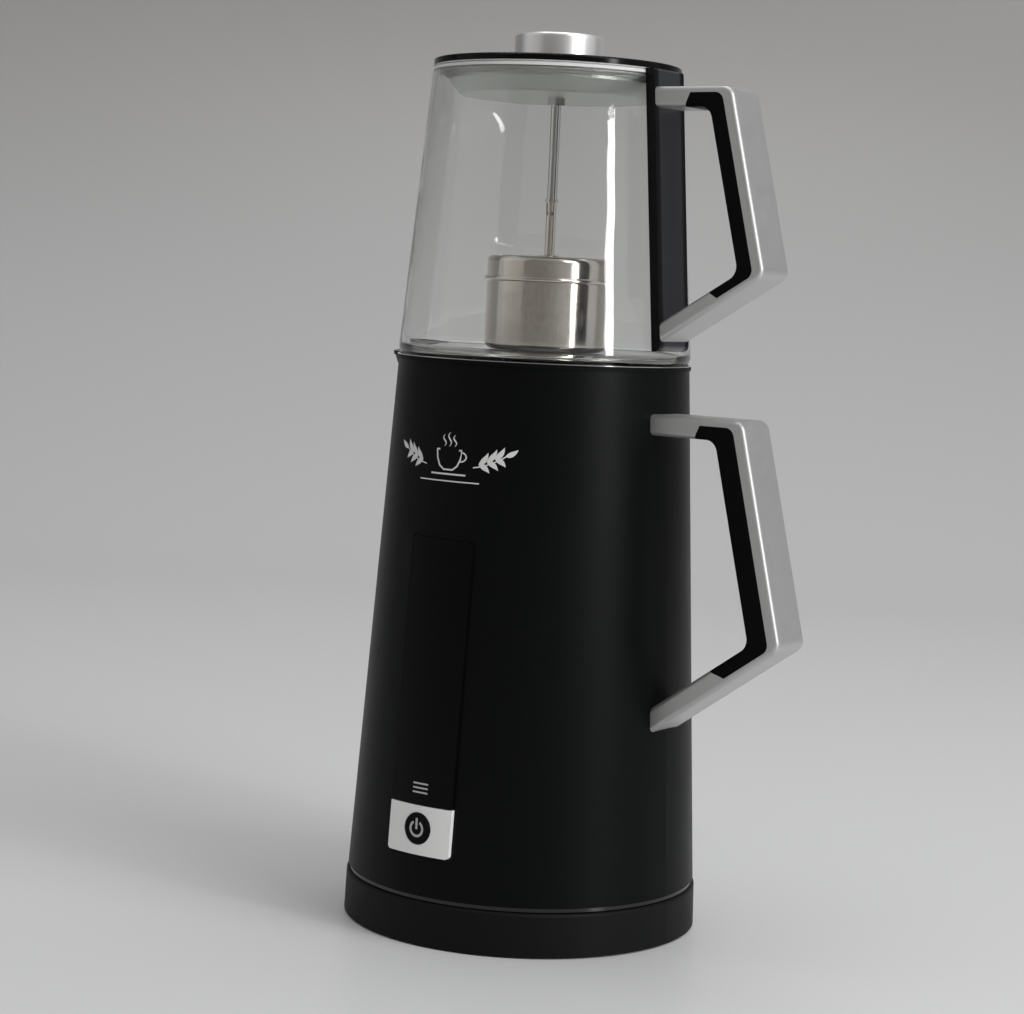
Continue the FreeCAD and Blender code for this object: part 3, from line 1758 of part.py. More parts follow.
basket = turned(
    "basket",
    [
        ("0", "basket_floor"),
        ("cap_inner", "basket_floor", "infuser_corner - infuser_wall"),
        ("cap_inner", "shoulder - infuser_wall"),
        ("neck_inner", "shoulder - infuser_wall"),
        ("neck_inner", "shoulder + neck_height"),
        ("neck_outer", "shoulder + neck_height"),
        ("neck_outer", "shoulder"),
        ("infuser_radius", "shoulder"),
        ("infuser_radius", "basket_bottom", "infuser_corner"),
        ("0", "basket_bottom"),
    ],
)


def drill_ring(body, circle, count):
    """A ring of equal holes through the floor of the basket."""
    sketch = new_sketch(body, "XY_Plane", "basket_bottom - infuser_wall")
    sketch.addGeometry(Part.Circle(Vector(8, 0, 0), Vector(0, 0, 1), 1), False)
    sketch.addConstraint(Sketcher.Constraint("PointOnObject", 0, 3, -1))
    hold(sketch, Sketcher.Constraint("DistanceX", -1, 1, 0, 3, 8), circle)
    hold(sketch, Sketcher.Constraint("Radius", 0, 1), "hole_radius")
    hole = body.newObject("PartDesign::Pocket", body.Name + "_hole")
    hole.Profile = sketch
    hole.Reversed = True
    bind(hole, Length="3 * infuser_wall")
    doc.recompute()
    pattern = body.newObject("PartDesign::PolarPattern", body.Name + "_holes")
    pattern.Originals = [hole]
    pattern.Axis = (sketch, ["N_Axis"])
    pattern.Angle = 360
    pattern.Occurrences = count
    body.Tip = pattern


doc.recompute()
undrilled = basket.Shape.Volume
for step, count in ((1, 8), (2, 16), (3, 24), (4, 32)):
    drill_ring(basket, f"hole_spacing * {step}", count)
doc.recompute()
if basket.Shape.Volume >= undrilled:
    raise ValueError("the basket's holes cut nothing")
node(basket, "infuser_basket")

# --------------------------------------------------------------------------------------
# Checks and export
# --------------------------------------------------------------------------------------
doc.recompute()
for item in doc.Objects:
    if "Invalid" in item.State or "Error" in item.State:
        raise ValueError(f"{item.Label} failed: {item.State}")
for item in NODES:
    if item.Shape.isNull() or not item.Shape.isValid() or not item.Shape.Solids:
        raise ValueError(f"{item.Label} has no valid solid")

os.makedirs("parts", exist_ok=True)
for item in NODES:
    item.Shape.exportStep(f"parts/{item.Label}.step")
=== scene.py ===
import math

import bmesh
import bpy
import numpy
from mathutils import Matrix, Vector


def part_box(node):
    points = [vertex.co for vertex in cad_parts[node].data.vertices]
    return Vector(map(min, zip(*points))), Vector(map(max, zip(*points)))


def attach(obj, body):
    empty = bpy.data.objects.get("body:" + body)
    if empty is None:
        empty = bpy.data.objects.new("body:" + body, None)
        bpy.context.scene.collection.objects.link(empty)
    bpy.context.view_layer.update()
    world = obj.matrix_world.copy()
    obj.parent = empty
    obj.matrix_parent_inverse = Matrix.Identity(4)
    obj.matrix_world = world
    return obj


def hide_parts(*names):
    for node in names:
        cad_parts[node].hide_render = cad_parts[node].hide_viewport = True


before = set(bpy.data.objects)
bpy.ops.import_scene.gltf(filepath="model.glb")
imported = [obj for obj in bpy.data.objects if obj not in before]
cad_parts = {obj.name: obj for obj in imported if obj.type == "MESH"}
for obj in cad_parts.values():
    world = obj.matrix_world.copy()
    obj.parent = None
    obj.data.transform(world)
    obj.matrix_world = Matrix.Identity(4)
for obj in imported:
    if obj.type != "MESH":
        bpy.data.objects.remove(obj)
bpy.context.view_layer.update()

# Where the tea maker is looked at from: a little above its middle, from the side between
# the control panel and the handles.  The camera leans slightly to one side.
AROUND, TURN, TILT, LEAN = (math.radians(angle) for angle in (35.2, -0.6, 5.214, 2.641))
EYE_DISTANCE = 1.03083
EYE_HEIGHT = 0.2687
LENS_IN_PIXELS = 2438.2
IMAGE_WIDTH = 1024
SENSOR_WIDTH = 36.0
NEAREST_SEEN = 0.01

forward = Vector(
    (math.sin(TURN) * math.cos(TILT), math.cos(TURN) * math.cos(TILT), -math.sin(TILT))
)
level = Vector((math.cos(TURN), -math.sin(TURN), 0.0))
upright = level.cross(forward)
right = math.cos(LEAN) * level + math.sin(LEAN) * upright
above = math.cos(LEAN) * upright - math.sin(LEAN) * level
looking = Matrix((right, above, -forward)).transposed()
walk_round = Matrix.Rotation(AROUND, 3, "Z")
camera = bpy.data.objects.new("camera", bpy.data.cameras.new("camera"))
camera.matrix_world = Matrix.LocRotScale(
    walk_round @ Vector((0.0, -EYE_DISTANCE, EYE_HEIGHT)),
    (walk_round @ looking).to_quaternion(),
    None,
)
camera.data.sensor_width = SENSOR_WIDTH
camera.data.lens = LENS_IN_PIXELS / IMAGE_WIDTH * SENSOR_WIDTH
camera.data.clip_start = NEAREST_SEEN
bpy.context.scene.collection.objects.link(camera)
bpy.context.scene.camera = camera
bpy.context.scene.view_settings.view_transform = "Standard"


# --------------------------------------------------------------------------------------
# Mains cord: 7 mm round, black, rubber sheathed.  It leaves the back of the base, lies in
# flat turns behind it and ends at the plug.  The third turn crosses over the others.
# --------------------------------------------------------------------------------------
class Signal:
    """What one node of a finish gives out.  Working with signals adds nodes."""

    def __init__(self, finish, socket):
        self.finish = finish
        self.socket = socket

    def worked(self, operation, *terms):
        return self.finish.node("ShaderNodeMath", {"operation": operation}, *terms)

    def __add__(self, other):
        return self.worked("ADD", self, other)

    def __sub__(self, other):
        return self.worked("SUBTRACT", self, other)

    def __rsub__(self, other):
        return self.worked("SUBTRACT", other, self)

    def __mul__(self, other):
        return self.worked("MULTIPLY", self, other)

    def __truediv__(self, other):
        return self.worked("DIVIDE", self, other)

    def __gt__(self, other):
        return self.worked("GREATER_THAN", self, other)

    def __lt__(self, other):
        return self.worked("LESS_THAN", self, other)

    def __or__(self, other):
        return self.worked("MAXIMUM", self, other)

    def __abs__(self):
        return self.worked("ABSOLUTE", self)

    def clamped(self):
        """The signal, held between 0 and 1."""
        return self.finish.node("ShaderNodeClamp", None, self)

    __radd__ = __add__
    __rmul__ = __mul__


class Finish:
    """One material: its surface, and the nodes that vary it."""

    def __init__(self, name, colour, roughness, **surface):
        self.material = bpy.data.materials.new(name)
        self.material.use_nodes = True
        self.tree = self.material.node_tree
        self.surface = self.tree.nodes["Principled BSDF"]
        self.surface.inputs["Base Color"].default_value = (*colour, 1.0)
        self.surface.inputs["Roughness"].default_value = roughness
        for socket, value in surface.items():
            self.surface.inputs[socket.replace("_", " ")].default_value = value
        self.place = self.node("ShaderNodeTexCoord", output="Object")

    def node(self, kind, settings=None, *values, output=0, **sockets):
        """Adds a node: settings first, then the values or signals of its sockets."""
        made = self.tree.nodes.new(kind)
        for setting, value in (settings or {}).items():
            if setting == "stops":
                ramp = made.color_ramp.elements
                for stop, (at, shade) in zip((ramp[0], ramp[-1]), (value[0], value[-1])):
                    stop.position, stop.color = at, shade
                for at, shade in value[1:-1]:
                    ramp.new(at).color = shade
            else:
                setattr(made, setting, value)
        fed = [*zip(made.inputs, values)]
        fed += [(made.inputs[name.replace("_", " ")], value) for name, value in sockets.items()]
        for socket, value in fed:
            if isinstance(value, Signal):
                self.tree.links.new(value.socket, socket)
            else:
                socket.default_value = value
        return Signal(self, made.outputs[output])

    def feed(self, socket, signal):
        self.tree.links.new(signal.socket, self.surface.inputs[socket])

    def noise(self, size, detail=2.0, place=None):
        """Soft random grain, its features about size metres across, from 0 to 1."""
        return self.node(
            "ShaderNodeTexNoise",
            None,
            Vector=place or self.place,
            Scale=1.0 / size,
            Detail=detail,
        )

    def stretched(self, x, y, z):
        """Places along the piece, stretched by a factor on each axis."""
        return self.node(
            "ShaderNodeVectorMath", {"operation": "MULTIPLY"}, self.place, (x, y, z)
        )

    def along(self, x, y, z):
        """How far each place of the piece lies along a direction."""
        return self.node(
            "ShaderNodeVectorMath",
            {"operation": "DOT_PRODUCT"},
            self.place,
            (x, y, z),
            output="Value",
        )

    def vary_colour(self, dark, light, signal):
        """The colour goes from dark to light with the signal."""
        mixed = self.node("ShaderNodeMix", {"data_type": "RGBA"}, output=2)
        mix = mixed.socket.node
        self.tree.links.new(signal.socket, mix.inputs[0])
        mix.inputs[6].default_value = (*dark, 1.0)
        mix.inputs[7].default_value = (*light, 1.0)
        self.feed("Base Color", mixed)

    def emboss(self, signal, depth):
        """Raises the surface by the signal times a depth in metres."""
        self.feed("Normal", self.node("ShaderNodeBump", None, Height=signal, Distance=depth))

    def cover(self, *pieces):
        """Puts the finish on solids, by name, or on pieces."""
        for piece in pieces:
            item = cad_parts[piece] if isinstance(piece, str) else piece
            if not item.material_slots:
                item.data.materials.append(self.material)
            for slot in item.material_slots:
                slot.material = self.material


def skin(shape, rows):
    """Faces between neighbouring rows of points, each row as long as the next."""
    for low, high in zip(rows, rows[1:]):
        for step in range(len(low) - 1):
            shape.faces.new((low[step], low[step + 1], high[step + 1], high[step]))


def stand(name, shape, smooth=True):
    """Puts a shape that is being built, a curve or a light in the scene as an object."""
    if isinstance(shape, bmesh.types.BMesh):
        mesh = bpy.data.meshes.new(name)
        shape.normal_update()
        shape.to_mesh(mesh)
        shape.free()
        if smooth:
            mesh.shade_smooth()
        shape = mesh
    item = bpy.data.objects.new(name, shape)
    bpy.context.scene.collection.objects.link(item)
    return item


WAY_OUT = math.radians(127.5)
CORD_DIAMETER = 0.007
CORD_START = 0.099
EXIT_HEIGHT = 0.008
ON_FLOOR = CORD_DIAMETER / 2
# The run to the coil and the run from it to the plug: how far along, and how high.
FIRST_RUN = ((0.0, EXIT_HEIGHT), (0.012, EXIT_HEIGHT), (0.0275, ON_FLOOR), (0.041, ON_FLOOR))
LAST_RUN = ((0.0095, 0.0105), (0.016, 0.0109), (0.0225, 0.0104), (0.0295, 0.00956))
COIL_ALONG, COIL_ASIDE = 0.1635, -0.039
OUTER_TURN, INNER_TURN, TOP_TURN = 0.0392, 0.0318, 0.0355
ON_TOP = 0.0099
LEAVE_AT = 940.0
TURN_POINTS = 33
# The turns: degrees past the place where the cord joins the coil, with the radius and the
# height of the cord's middle there.  It lies outside, then inside, then on both.
TURNS = (
    (-15.0, OUTER_TURN, ON_FLOOR),
    (270.0, OUTER_TURN, ON_FLOOR),
    (350.0, INNER_TURN, ON_FLOOR),
    (588.0, INNER_TURN, ON_FLOOR),
    (635.0, 0.0326, 0.0085),
    (680.0, 0.0352, 0.0116),
    (715.0, TOP_TURN, 0.0114),
    (790.0, TOP_TURN, ON_TOP),
    (955.0, TOP_TURN, 0.0100),
)


def behind(along, aside, up):
    """A point behind the base: along the cord's way out, aside of it, and up."""
    return Vector(
        (
            along * math.cos(WAY_OUT) - aside * math.sin(WAY_OUT),
            along * math.sin(WAY_OUT) + aside * math.cos(WAY_OUT),
            up,
        )
    )


def round_coil(degrees, radius, up):
    """A point at some degrees round the coil from where the cord joins it."""
    angle = math.radians(90.0 - degrees)
    return behind(
        COIL_ALONG + radius * math.cos(angle), COIL_ASIDE + radius * math.sin(angle), up
    )


cord_points = [behind(CORD_START + along, 0.0, up) for along, up in FIRST_RUN]
# The turns' points lie a little outside the turns, because the sheath passes inside them.
angles, radii, heights = zip(*TURNS)
stops = numpy.linspace(angles[0], angles[-1], TURN_POINTS + 1)[:-1]
corner = math.cos(math.radians(stops[1] - stops[0]) / 2)
for stop in stops:
    radius, up = numpy.interp(stop, angles, radii), numpy.interp(stop, angles, heights)
    cord_points.append(round_coil(stop, radius / corner, up))
leave = round_coil(LEAVE_AT, radii[-1], 0.0)
just_before, just_after = (round_coil(LEAVE_AT + nudge, 1.0, 0.0) for nudge in (-0.01, 0.01))
way_on = (just_after - just_before).normalized()
for distance, up in LAST_RUN:
    cord_points.append(leave + way_on * distance + Vector((0.0, 0.0, up)))

cord_curve = bpy.data.curves.new("mains_cord_sheath", "CURVE")
cord_curve.dimensions = "3D"
cord_curve.bevel_depth = CORD_DIAMETER / 2
cord_curve.bevel_resolution = 6
cord_curve.resolution_u = 6
spline = cord_curve.splines.new("NURBS")
spline.points.add(len(cord_points) - 1)
for point, place in zip(spline.points, cord_points):
    point.co = (*place, 1.0)
spline.order_u = 3
spline.use_endpoint_u = True
mains_cord = stand("mains_cord_sheath", cord_curve)

# A rubber tie holds the turns together: a flat band that bends round all three of them.
TIE_AT = 812.0
TIE_HALF_WIDTH = 0.0022
TIE_THICKNESS = 0.0009
TIE_REACH = CORD_DIAMETER / 2 + TIE_THICKNESS / 2
TIE_BENDS = (
    (OUTER_TURN, ON_FLOOR, -90, 30),
    (TOP_TURN, ON_TOP, 30, 150),
    (INNER_TURN, ON_FLOOR, 150, 270),
)
band = bmesh.new()
band_rows = []
for turn_radius, turn_up, first, last in TIE_BENDS:
    for angle in range(first, last + 1, 15):
        radius = turn_radius + TIE_REACH * math.cos(math.radians(angle))
        up = max(turn_up + TIE_REACH * math.sin(math.radians(angle)), TIE_THICKNESS / 2)
        lean = math.degrees(TIE_HALF_WIDTH / radius)
        band_rows.append(
            [
                band.verts.new(round_coil(TIE_AT + side, radius, up))
                for side in (-lean, 0.0, lean)
            ]
        )
skin(band, [*band_rows, band_rows[0]])
cord_tie = stand("cord_tie", band)
tie_layer = cord_tie.modifiers.new("tie_layer", "SOLIDIFY")
tie_layer.thickness = TIE_THICKNESS
tie_layer.offset = 0.0

sheath = Finish("cord_sheath", (0.012, 0.012, 0.013), 0.5, Specular_IOR_Level=0.3)
sheath.feed("Roughness", 0.42 + 0.16 * sheath.noise(0.004))
sheath.emboss(sheath.noise(0.0006), 0.00003)
sheath.cover(mains_cord, "plug_body")
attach(mains_cord, "power_base")
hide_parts("mains_cord", "cord_coil")
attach(cord_tie, "power_base")
tuple(behind(CORD_START, 0.0, EXIT_HEIGHT))


# --------------------------------------------------------------------------------------
# Room: a pale floor that rises into a wall behind; its colour darkens up the wall, painted
# shade.  A large soft lamp stands to the right of the camera and a tall bright one below
# it, with a weak one to the left and a wide one overhead.
# --------------------------------------------------------------------------------------
FLOOR_HALF = 6.0
SWEEP_START = 1.1
SWEEP_RADIUS = 0.7
WALL_HEIGHT = 2.6
FLOOR_SHADE, WALL_PAINTED_SHADE = (0.76, 0.76, 0.76), (0.43, 0.42, 0.41)
DARKEST_AT = 0.65

profile = [(-FLOOR_HALF, 0.0), (SWEEP_START, 0.0)]
profile += [
    (
        SWEEP_START + SWEEP_RADIUS * math.sin(math.radians(angle)),
        SWEEP_RADIUS * (1.0 - math.cos(math.radians(angle))),
    )
    for angle in range(6, 91, 6)
]
profile.append((SWEEP_START + SWEEP_RADIUS, WALL_HEIGHT))
sweep = bmesh.new()
sweep_rows = [
    [
        sweep.verts.new(walk_round @ Vector((side, along, up)))
        for side in (-FLOOR_HALF, FLOOR_HALF)
    ]
    for along, up in profile
]
skin(sweep, sweep_rows)
floor = stand("floor", sweep)
board = Finish("floor_board", FLOOR_SHADE, 0.34, Specular_IOR_Level=0.35)
board.feed("Roughness", 0.33 + 0.04 * board.noise(0.3, 1.0))
# Painted shade: the colour goes from the floor's to a darker one up the wall, darkest at
# DARKEST_AT.
board.vary_colour(FLOOR_SHADE, WALL_PAINTED_SHADE, board.along(0.0, 0.0, 1.0) / DARKEST_AT)
board.cover(floor)


def lamp(name, place, aim, width, height, watts, tint=(1.0, 1.0, 1.0)):
    """A soft lamp: a glowing panel that faces a point.  Its place turns with the camera."""
    light = bpy.data.lights.new(name, "AREA")
    light.shape = "RECTANGLE"
    light.size, light.size_y = width, height
    light.energy = watts
    light.color = tint
    spot = walk_round @ Vector(place)
    facing = (Vector(aim) - spot).to_track_quat("-Z", "Y")
    stand(name, light).matrix_world = Matrix.LocRotScale(spot, facing, None)


MIDDLE, UPPER_HALF = (0.0, 0.0, 0.2), (0.0, 0.0, 0.3)
WARM = (1.0, 0.97, 0.94)
lamp("lamp_right", (1.3, -1.0, 1.35), MIDDLE, width=1.2, height=1.0, watts=15.0)
lamp("lamp_tall", (1.04, -0.86, 0.4215), UPPER_HALF, width=0.16, height=0.403, watts=4.15)
lamp("lamp_left", (-1.6, -0.6, 0.9), MIDDLE, width=1.6, height=1.4, watts=1.6, tint=WARM)
lamp("lamp_above", (0.1, 0.3, 1.9), MIDDLE, width=1.4, height=1.4, watts=10.0)

# The room is darker and warmer on the side that faces the control panel and the handles.
ROOM_STRENGTH = 0.45
DIM_SIDE = (-0.45, -0.893, 0.0)
ROOM_SHADES = ((0.2, (0.95, 0.97, 1.0, 1.0)), (0.95, (0.36, 0.34, 0.32, 1.0)))
world = bpy.data.worlds.new("room")
world.use_nodes = True
bpy.context.scene.world = world
room_light = world.node_tree.nodes["Background"]
room_light.inputs["Strength"].default_value = ROOM_STRENGTH
sky = world.node_tree.nodes
way_round = sky.new("ShaderNodeTexCoord")
toward = sky.new("ShaderNodeVectorMath")
toward.operation = "DOT_PRODUCT"
toward.inputs[1].default_value = walk_round @ Vector(DIM_SIDE)
shade = sky.new("ShaderNodeValToRGB")
for stop, (at, tint) in zip(shade.color_ramp.elements, ROOM_SHADES):
    stop.position, stop.color = at, tint
world.node_tree.links.new(way_round.outputs["Generated"], toward.inputs[0])
world.node_tree.links.new(toward.outputs["Value"], shade.inputs[0])
world.node_tree.links.new(shade.outputs[0], room_light.inputs["Color"])


# --------------------------------------------------------------------------------------
# Power base: matte moulded housing with a round connector under its deck, closed from
# below by a disc that carries rubber feet and three screws.
# --------------------------------------------------------------------------------------
moulding = Finish(
    "matte_black_moulding", (0.0052, 0.0055, 0.0054), 0.5, Specular_IOR_Level=0.12
)
moulding.feed("Roughness", 0.44 + 0.14 * moulding.noise(0.012))
moulding.emboss(moulding.noise(0.0005, 3.0), 0.00003)
moulding.cover(
    "base_housing",
    "base_bottom_cover",
    "base_connector",
    "kettle_bottom_cover",
    "kettle_connector",
    "panel_frame",
    "push_switch",
)

rubber = Finish("soft_rubber", (0.02, 0.02, 0.021), 0.8, Specular_IOR_Level=0.2)
rubber.feed("Roughness", 0.72 + 0.2 * rubber.noise(0.003))
rubber.emboss(rubber.noise(0.0004), 0.00004)
rubber.cover("base_feet", "cord_strain_relief", cord_tie)

zinc = Finish("zinc_plated_steel", (0.6, 0.6, 0.61), 0.35, Metallic=1.0)
zinc.feed("Roughness", 0.26 + 0.22 * zinc.noise(0.0015))
zinc.cover("base_screws", "kettle_bottom_screws", "kettle_handle_screws", "teapot_handle_screws")

brass = Finish("plain_brass", (0.72, 0.52, 0.22), 0.3, Metallic=1.0)
brass.feed("Roughness", 0.2 + 0.25 * brass.noise(0.002))
brass.vary_colour((0.62, 0.42, 0.17), (0.78, 0.58, 0.27), brass.noise(0.004))
brass.cover("base_contacts", "kettle_contacts", "kettle_terminals")

nickel = Finish("nickel_plated_pins", (0.72, 0.7, 0.66), 0.22, Metallic=1.0)
nickel.feed("Roughness", 0.16 + 0.16 * nickel.noise(0.002))
nickel.cover("plug_pins")

# Wires in the base: three cores, brown, green and blue, side by side across the way out.
CORES_WIDTH = 0.0096
BROWN, GREEN, BLUE = (0.16, 0.05, 0.015, 1.0), (0.02, 0.25, 0.06, 1.0), (0.02, 0.07, 0.4, 1.0)
cores = Finish("wire_insulation", (0.3, 0.1, 0.04), 0.45)
core_colour = cores.node(
    "ShaderNodeValToRGB",
    {"stops": [(0.0, BROWN), (0.35, GREEN), (0.65, BLUE)]},
    cores.along(-math.sin(WAY_OUT), math.cos(WAY_OUT), 0.0) / CORES_WIDTH + 0.5,
)
core_colour.socket.node.color_ramp.interpolation = "CONSTANT"
cores.feed("Base Color", core_colour)
cores.feed("Roughness", 0.38 + 0.15 * cores.noise(0.003))
cores.cover("base_wires")


# --------------------------------------------------------------------------------------
# Kettle shell: a steel cone, powder coated matte black, with a pouring spout.  A glossy
# black ring closes its lower edge and a steel rim its upper one.
# --------------------------------------------------------------------------------------
shell_coat = Finish("powder_coat", (0.0022, 0.0029, 0.0026), 0.4, Specular_IOR_Level=0.085)
shell_coat.feed("Roughness", 0.35 + 0.08 * shell_coat.noise(0.02))
shell_coat.emboss(shell_coat.noise(0.00035), 0.00004)
shell_coat.vary_colour(
    (0.002, 0.0026, 0.0023), (0.0026, 0.0034, 0.003), shell_coat.noise(0.05)
)
shell_coat.cover("kettle_shell")

trim_gloss = Finish("trim_gloss", (0.004, 0.004, 0.004), 0.1, Specular_IOR_Level=0.5)
trim_gloss.feed("Roughness", 0.07 + 0.06 * trim_gloss.noise(0.01))
trim_gloss.cover("kettle_trim_ring")

# The rim is painted with the shell up to its crown; only its top and its ledge are bare.
RIM_CROWN, RIM_CROWN_RADIUS = 0.2377, 0.0612
BARE_STEEL, RIM_PAINT = (0.74, 0.73, 0.71), (0.0026, 0.0033, 0.003)
rim_steel = Finish("kettle_rim_steel", BARE_STEEL, 0.1, Metallic=1.0, Specular_IOR_Level=0.07)
from_axis = rim_steel.node(
    "ShaderNodeVectorMath",
    {"operation": "LENGTH"},
    rim_steel.stretched(1.0, 1.0, 0.0),
    output="Value",
)
bare = (rim_steel.along(0.0, 0.0, 1.0) > RIM_CROWN) | (from_axis < RIM_CROWN_RADIUS)
rim_steel.vary_colour(RIM_PAINT, BARE_STEEL, bare)
rim_steel.feed("Metallic", bare)
rim_steel.feed("Roughness", 0.44 - 0.38 * bare + 0.05 * rim_steel.noise(0.006, 4.0))
rim_steel.cover("kettle_rim")

# Printed mark on the shell: a steaming cup between two leaf sprigs above a thin rule, in
# white ink, printed round the cone's front.
SHELL_LOW, SHELL_HIGH = 0.0204, 0.2360
SHELL_LOW_RADIUS, SHELL_HIGH_RADIUS = 0.0739, 0.0613
INK_THICKNESS = 0.00006
INK_PROUD = 0.00004
ACROSS_A_STROKE = (-1, -0.33, 0.33, 1)
LEAF_STEPS, LEAF_TIP, LEAF_BELLY = 14, 0.0001, 0.8


def on_the_cone(across, up, proud):
    """A point in front of the shell, from its distance round it and its height."""
    share = (up - SHELL_LOW) / (SHELL_HIGH - SHELL_LOW)
    radius = SHELL_LOW_RADIUS + (SHELL_HIGH_RADIUS - SHELL_LOW_RADIUS) * share
    angle = across / radius
    return Vector(
        ((radius + proud) * math.sin(angle), -(radius + proud) * math.cos(angle), up)
    )


def brush(ink, wall, path, widths):
    """One stroke of print: a strip along a path of (across, up), as wide as the widths say."""
    rows = []
    for index, (across, up) in enumerate(path):
        before = Vector(path[max(index - 1, 0)])
        after = Vector(path[min(index + 1, len(path) - 1)])
        way = (after - before).normalized()
        normal = Vector((-way.y, way.x)) * widths[index] / 2
        rows.append(
            [
                ink.verts.new(wall(across + share * normal.x, up + share * normal.y))
                for share in ACROSS_A_STROKE
            ]
        )
    skin(ink, rows)


def line_between(start, end, steps=12, bow=0.0):
    """Points from one place to another, bowed sideways in the middle."""
    start, end = Vector(start), Vector(end)
    side = Vector((-(end - start).y, (end - start).x))
    points = []
    for step in range(steps + 1):
        share = step / steps
        points.append(tuple(start.lerp(end, share) + side * bow * 4 * share * (1 - share)))
    return points


def print_strokes(name, wall, strokes):
    """A printed mark of several strokes, a fine layer of ink on a wall."""
    ink = bmesh.new()
    for path, widths in strokes:
        brush(ink, wall, path, widths)
    item = stand(name, ink, smooth=False)
    layer = item.modifiers.new("ink_layer", "SOLIDIFY")
    layer.thickness = INK_THICKNESS
    layer.offset = 0.0
    return item


def even(path, width):
    """A stroke that is as wide at each of its points."""
    return path, [width] * len(path)


def leaf(root, tip, width, bow):
    """A leaf shape: a stroke that swells and ends in a point."""
    widths = [
        width * math.sin(math.pi * (step / LEAF_STEPS) ** LEAF_BELLY) + LEAF_TIP
        for step in range(LEAF_STEPS + 1)
    ]
    return line_between(root, tip, LEAF_STEPS, bow), widths


# The mark's points are (across, up) from the middle of the cup, and MARK_UP is its height.
# A wisp of steam is where it stands across and how tall it is, and a leaf is how far along
# its sprig it grows and how far it reaches.
MARK_UP = 0.1985
LINE, THIN_LINE, HANDLE_LINE, STEAM_LINE = 0.0007, 0.0005, 0.0006, 0.00065
SAUCER_HALF, SAUCER_UP = 0.0086, -0.0070
RULE_HALF, RULE_UP = 0.0150, -0.0098
HANDLE_CENTRE, HANDLE_RADII = (0.0058, 0.0002), (0.0026, 0.0019)
STEAM_UP, STEAM_SWAY, STEAM_STEPS = 0.0042, 0.0008, 9
WISPS = ((-0.0026, 0.0046), (0.0, 0.0056), (0.0026, 0.0046))
STEM_START, STEM_END, STEM_BOW = (0.0118, -0.0036), (0.0262, 0.0022), 0.06
LEAVES = ((0.0142, 0.0050), (0.0176, 0.0052), (0.0210, 0.0048))
LEAF_WIDTH, LEAF_BOW = 0.0021, 0.1
TOP_LEAF_START, TOP_LEAF_END = (0.0252, 0.0018), (0.0302, 0.0046)
TOP_LEAF_WIDTH, TOP_LEAF_BOW = 0.0020, 0.08
CUP_OUTLINE = [
    (-0.0062, 0.0028),
    (-0.0057, -0.0008),
    (-0.0044, -0.0036),
    (-0.0022, -0.0052),
    (0.0022, -0.0052),
    (0.0044, -0.0036),
    (0.0057, -0.0008),
    (0.0062, 0.0028),
    (-0.0062, 0.0028),
    (-0.0060, 0.0014),
]
handle_arc = [
    (
        HANDLE_CENTRE[0] + HANDLE_RADII[0] * math.cos(math.radians(angle)),
        HANDLE_CENTRE[1] + HANDLE_RADII[1] * math.sin(math.radians(angle)),
    )
    for angle in range(-100, 91, 19)
]
saucer = line_between((-SAUCER_HALF, SAUCER_UP), (SAUCER_HALF, SAUCER_UP))
strokes = [even(CUP_OUTLINE, LINE), even(handle_arc, HANDLE_LINE), even(saucer, LINE)]
for across, height in WISPS:
    wisp = [
        (
            across + STEAM_SWAY * math.sin(step * 0.7),
            STEAM_UP + height * step / STEAM_STEPS,
        )
        for step in range(STEAM_STEPS + 1)
    ]
    swell = [
        STEAM_LINE * math.sin(math.pi * (step + 0.8) / (STEAM_STEPS + 1.6))
        for step in range(STEAM_STEPS + 1)
    ]
    strokes.append((wisp, swell))
for side in (-1, 1):
    stem_ends = [(side * across, up) for across, up in (STEM_START, STEM_END)]
    strokes.append(even(line_between(*stem_ends, LEAF_STEPS, -STEM_BOW * side), THIN_LINE))
    for along, reach in LEAVES:
        foot = (side * along, -0.0032 + 0.4 * (along - STEM_START[0]))
        upper_tip = (side * (along + reach * 0.75), foot[1] + reach)
        lower_tip = (side * (along + reach * 0.95), foot[1] - reach * 0.62)
        strokes.append(leaf(foot, upper_tip, LEAF_WIDTH, -LEAF_BOW * side))
        strokes.append(leaf(foot, lower_tip, LEAF_WIDTH, LEAF_BOW * side))
    leaf_ends = [(side * across, up) for across, up in (TOP_LEAF_START, TOP_LEAF_END)]
    strokes.append(leaf(*leaf_ends, TOP_LEAF_WIDTH, -TOP_LEAF_BOW * side))
rule = line_between((-RULE_HALF, RULE_UP), (RULE_HALF, RULE_UP), 20)
strokes.append(even(rule, THIN_LINE))
raised = [([(across, MARK_UP + up) for across, up in path], widths) for path, widths in strokes]
shell_mark = print_strokes(
    "shell_mark", lambda across, up: on_the_cone(across, up, INK_PROUD), raised
)

white_ink = Finish("white_ink", (0.74, 0.74, 0.73), 0.4)
white_ink.feed("Roughness", 0.35 + 0.15 * white_ink.noise(0.001))
white_ink.cover(shell_mark)
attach(shell_mark, "kettle")


# --------------------------------------------------------------------------------------
# Control panel: a tall glossy black cover above a white plate with a round black push
# button.  Three bars are printed above the plate, and the on and off sign on the button.
# --------------------------------------------------------------------------------------
PANEL_PROUD = 0.0015
BAR_HALF, BAR_THICK = 0.00365, 0.0007
BAR_HEIGHTS = (0.0625, 0.0643, 0.0661)

tinted = Finish("panel_gloss", (0.0024, 0.0024, 0.0026), 0.26, Specular_IOR_Level=0.09)
tinted.feed("Roughness", 0.22 + 0.08 * tinted.noise(0.015))
tinted.cover("panel_cover")

white_plate = Finish(
    "white_plate", (0.9, 0.9, 0.89), 0.28, Coat_Weight=0.3, Coat_Roughness=0.1
)
white_plate.vary_colour((0.88, 0.88, 0.87), (0.92, 0.92, 0.91), white_plate.noise(0.01))
white_plate.cover("button_plate")

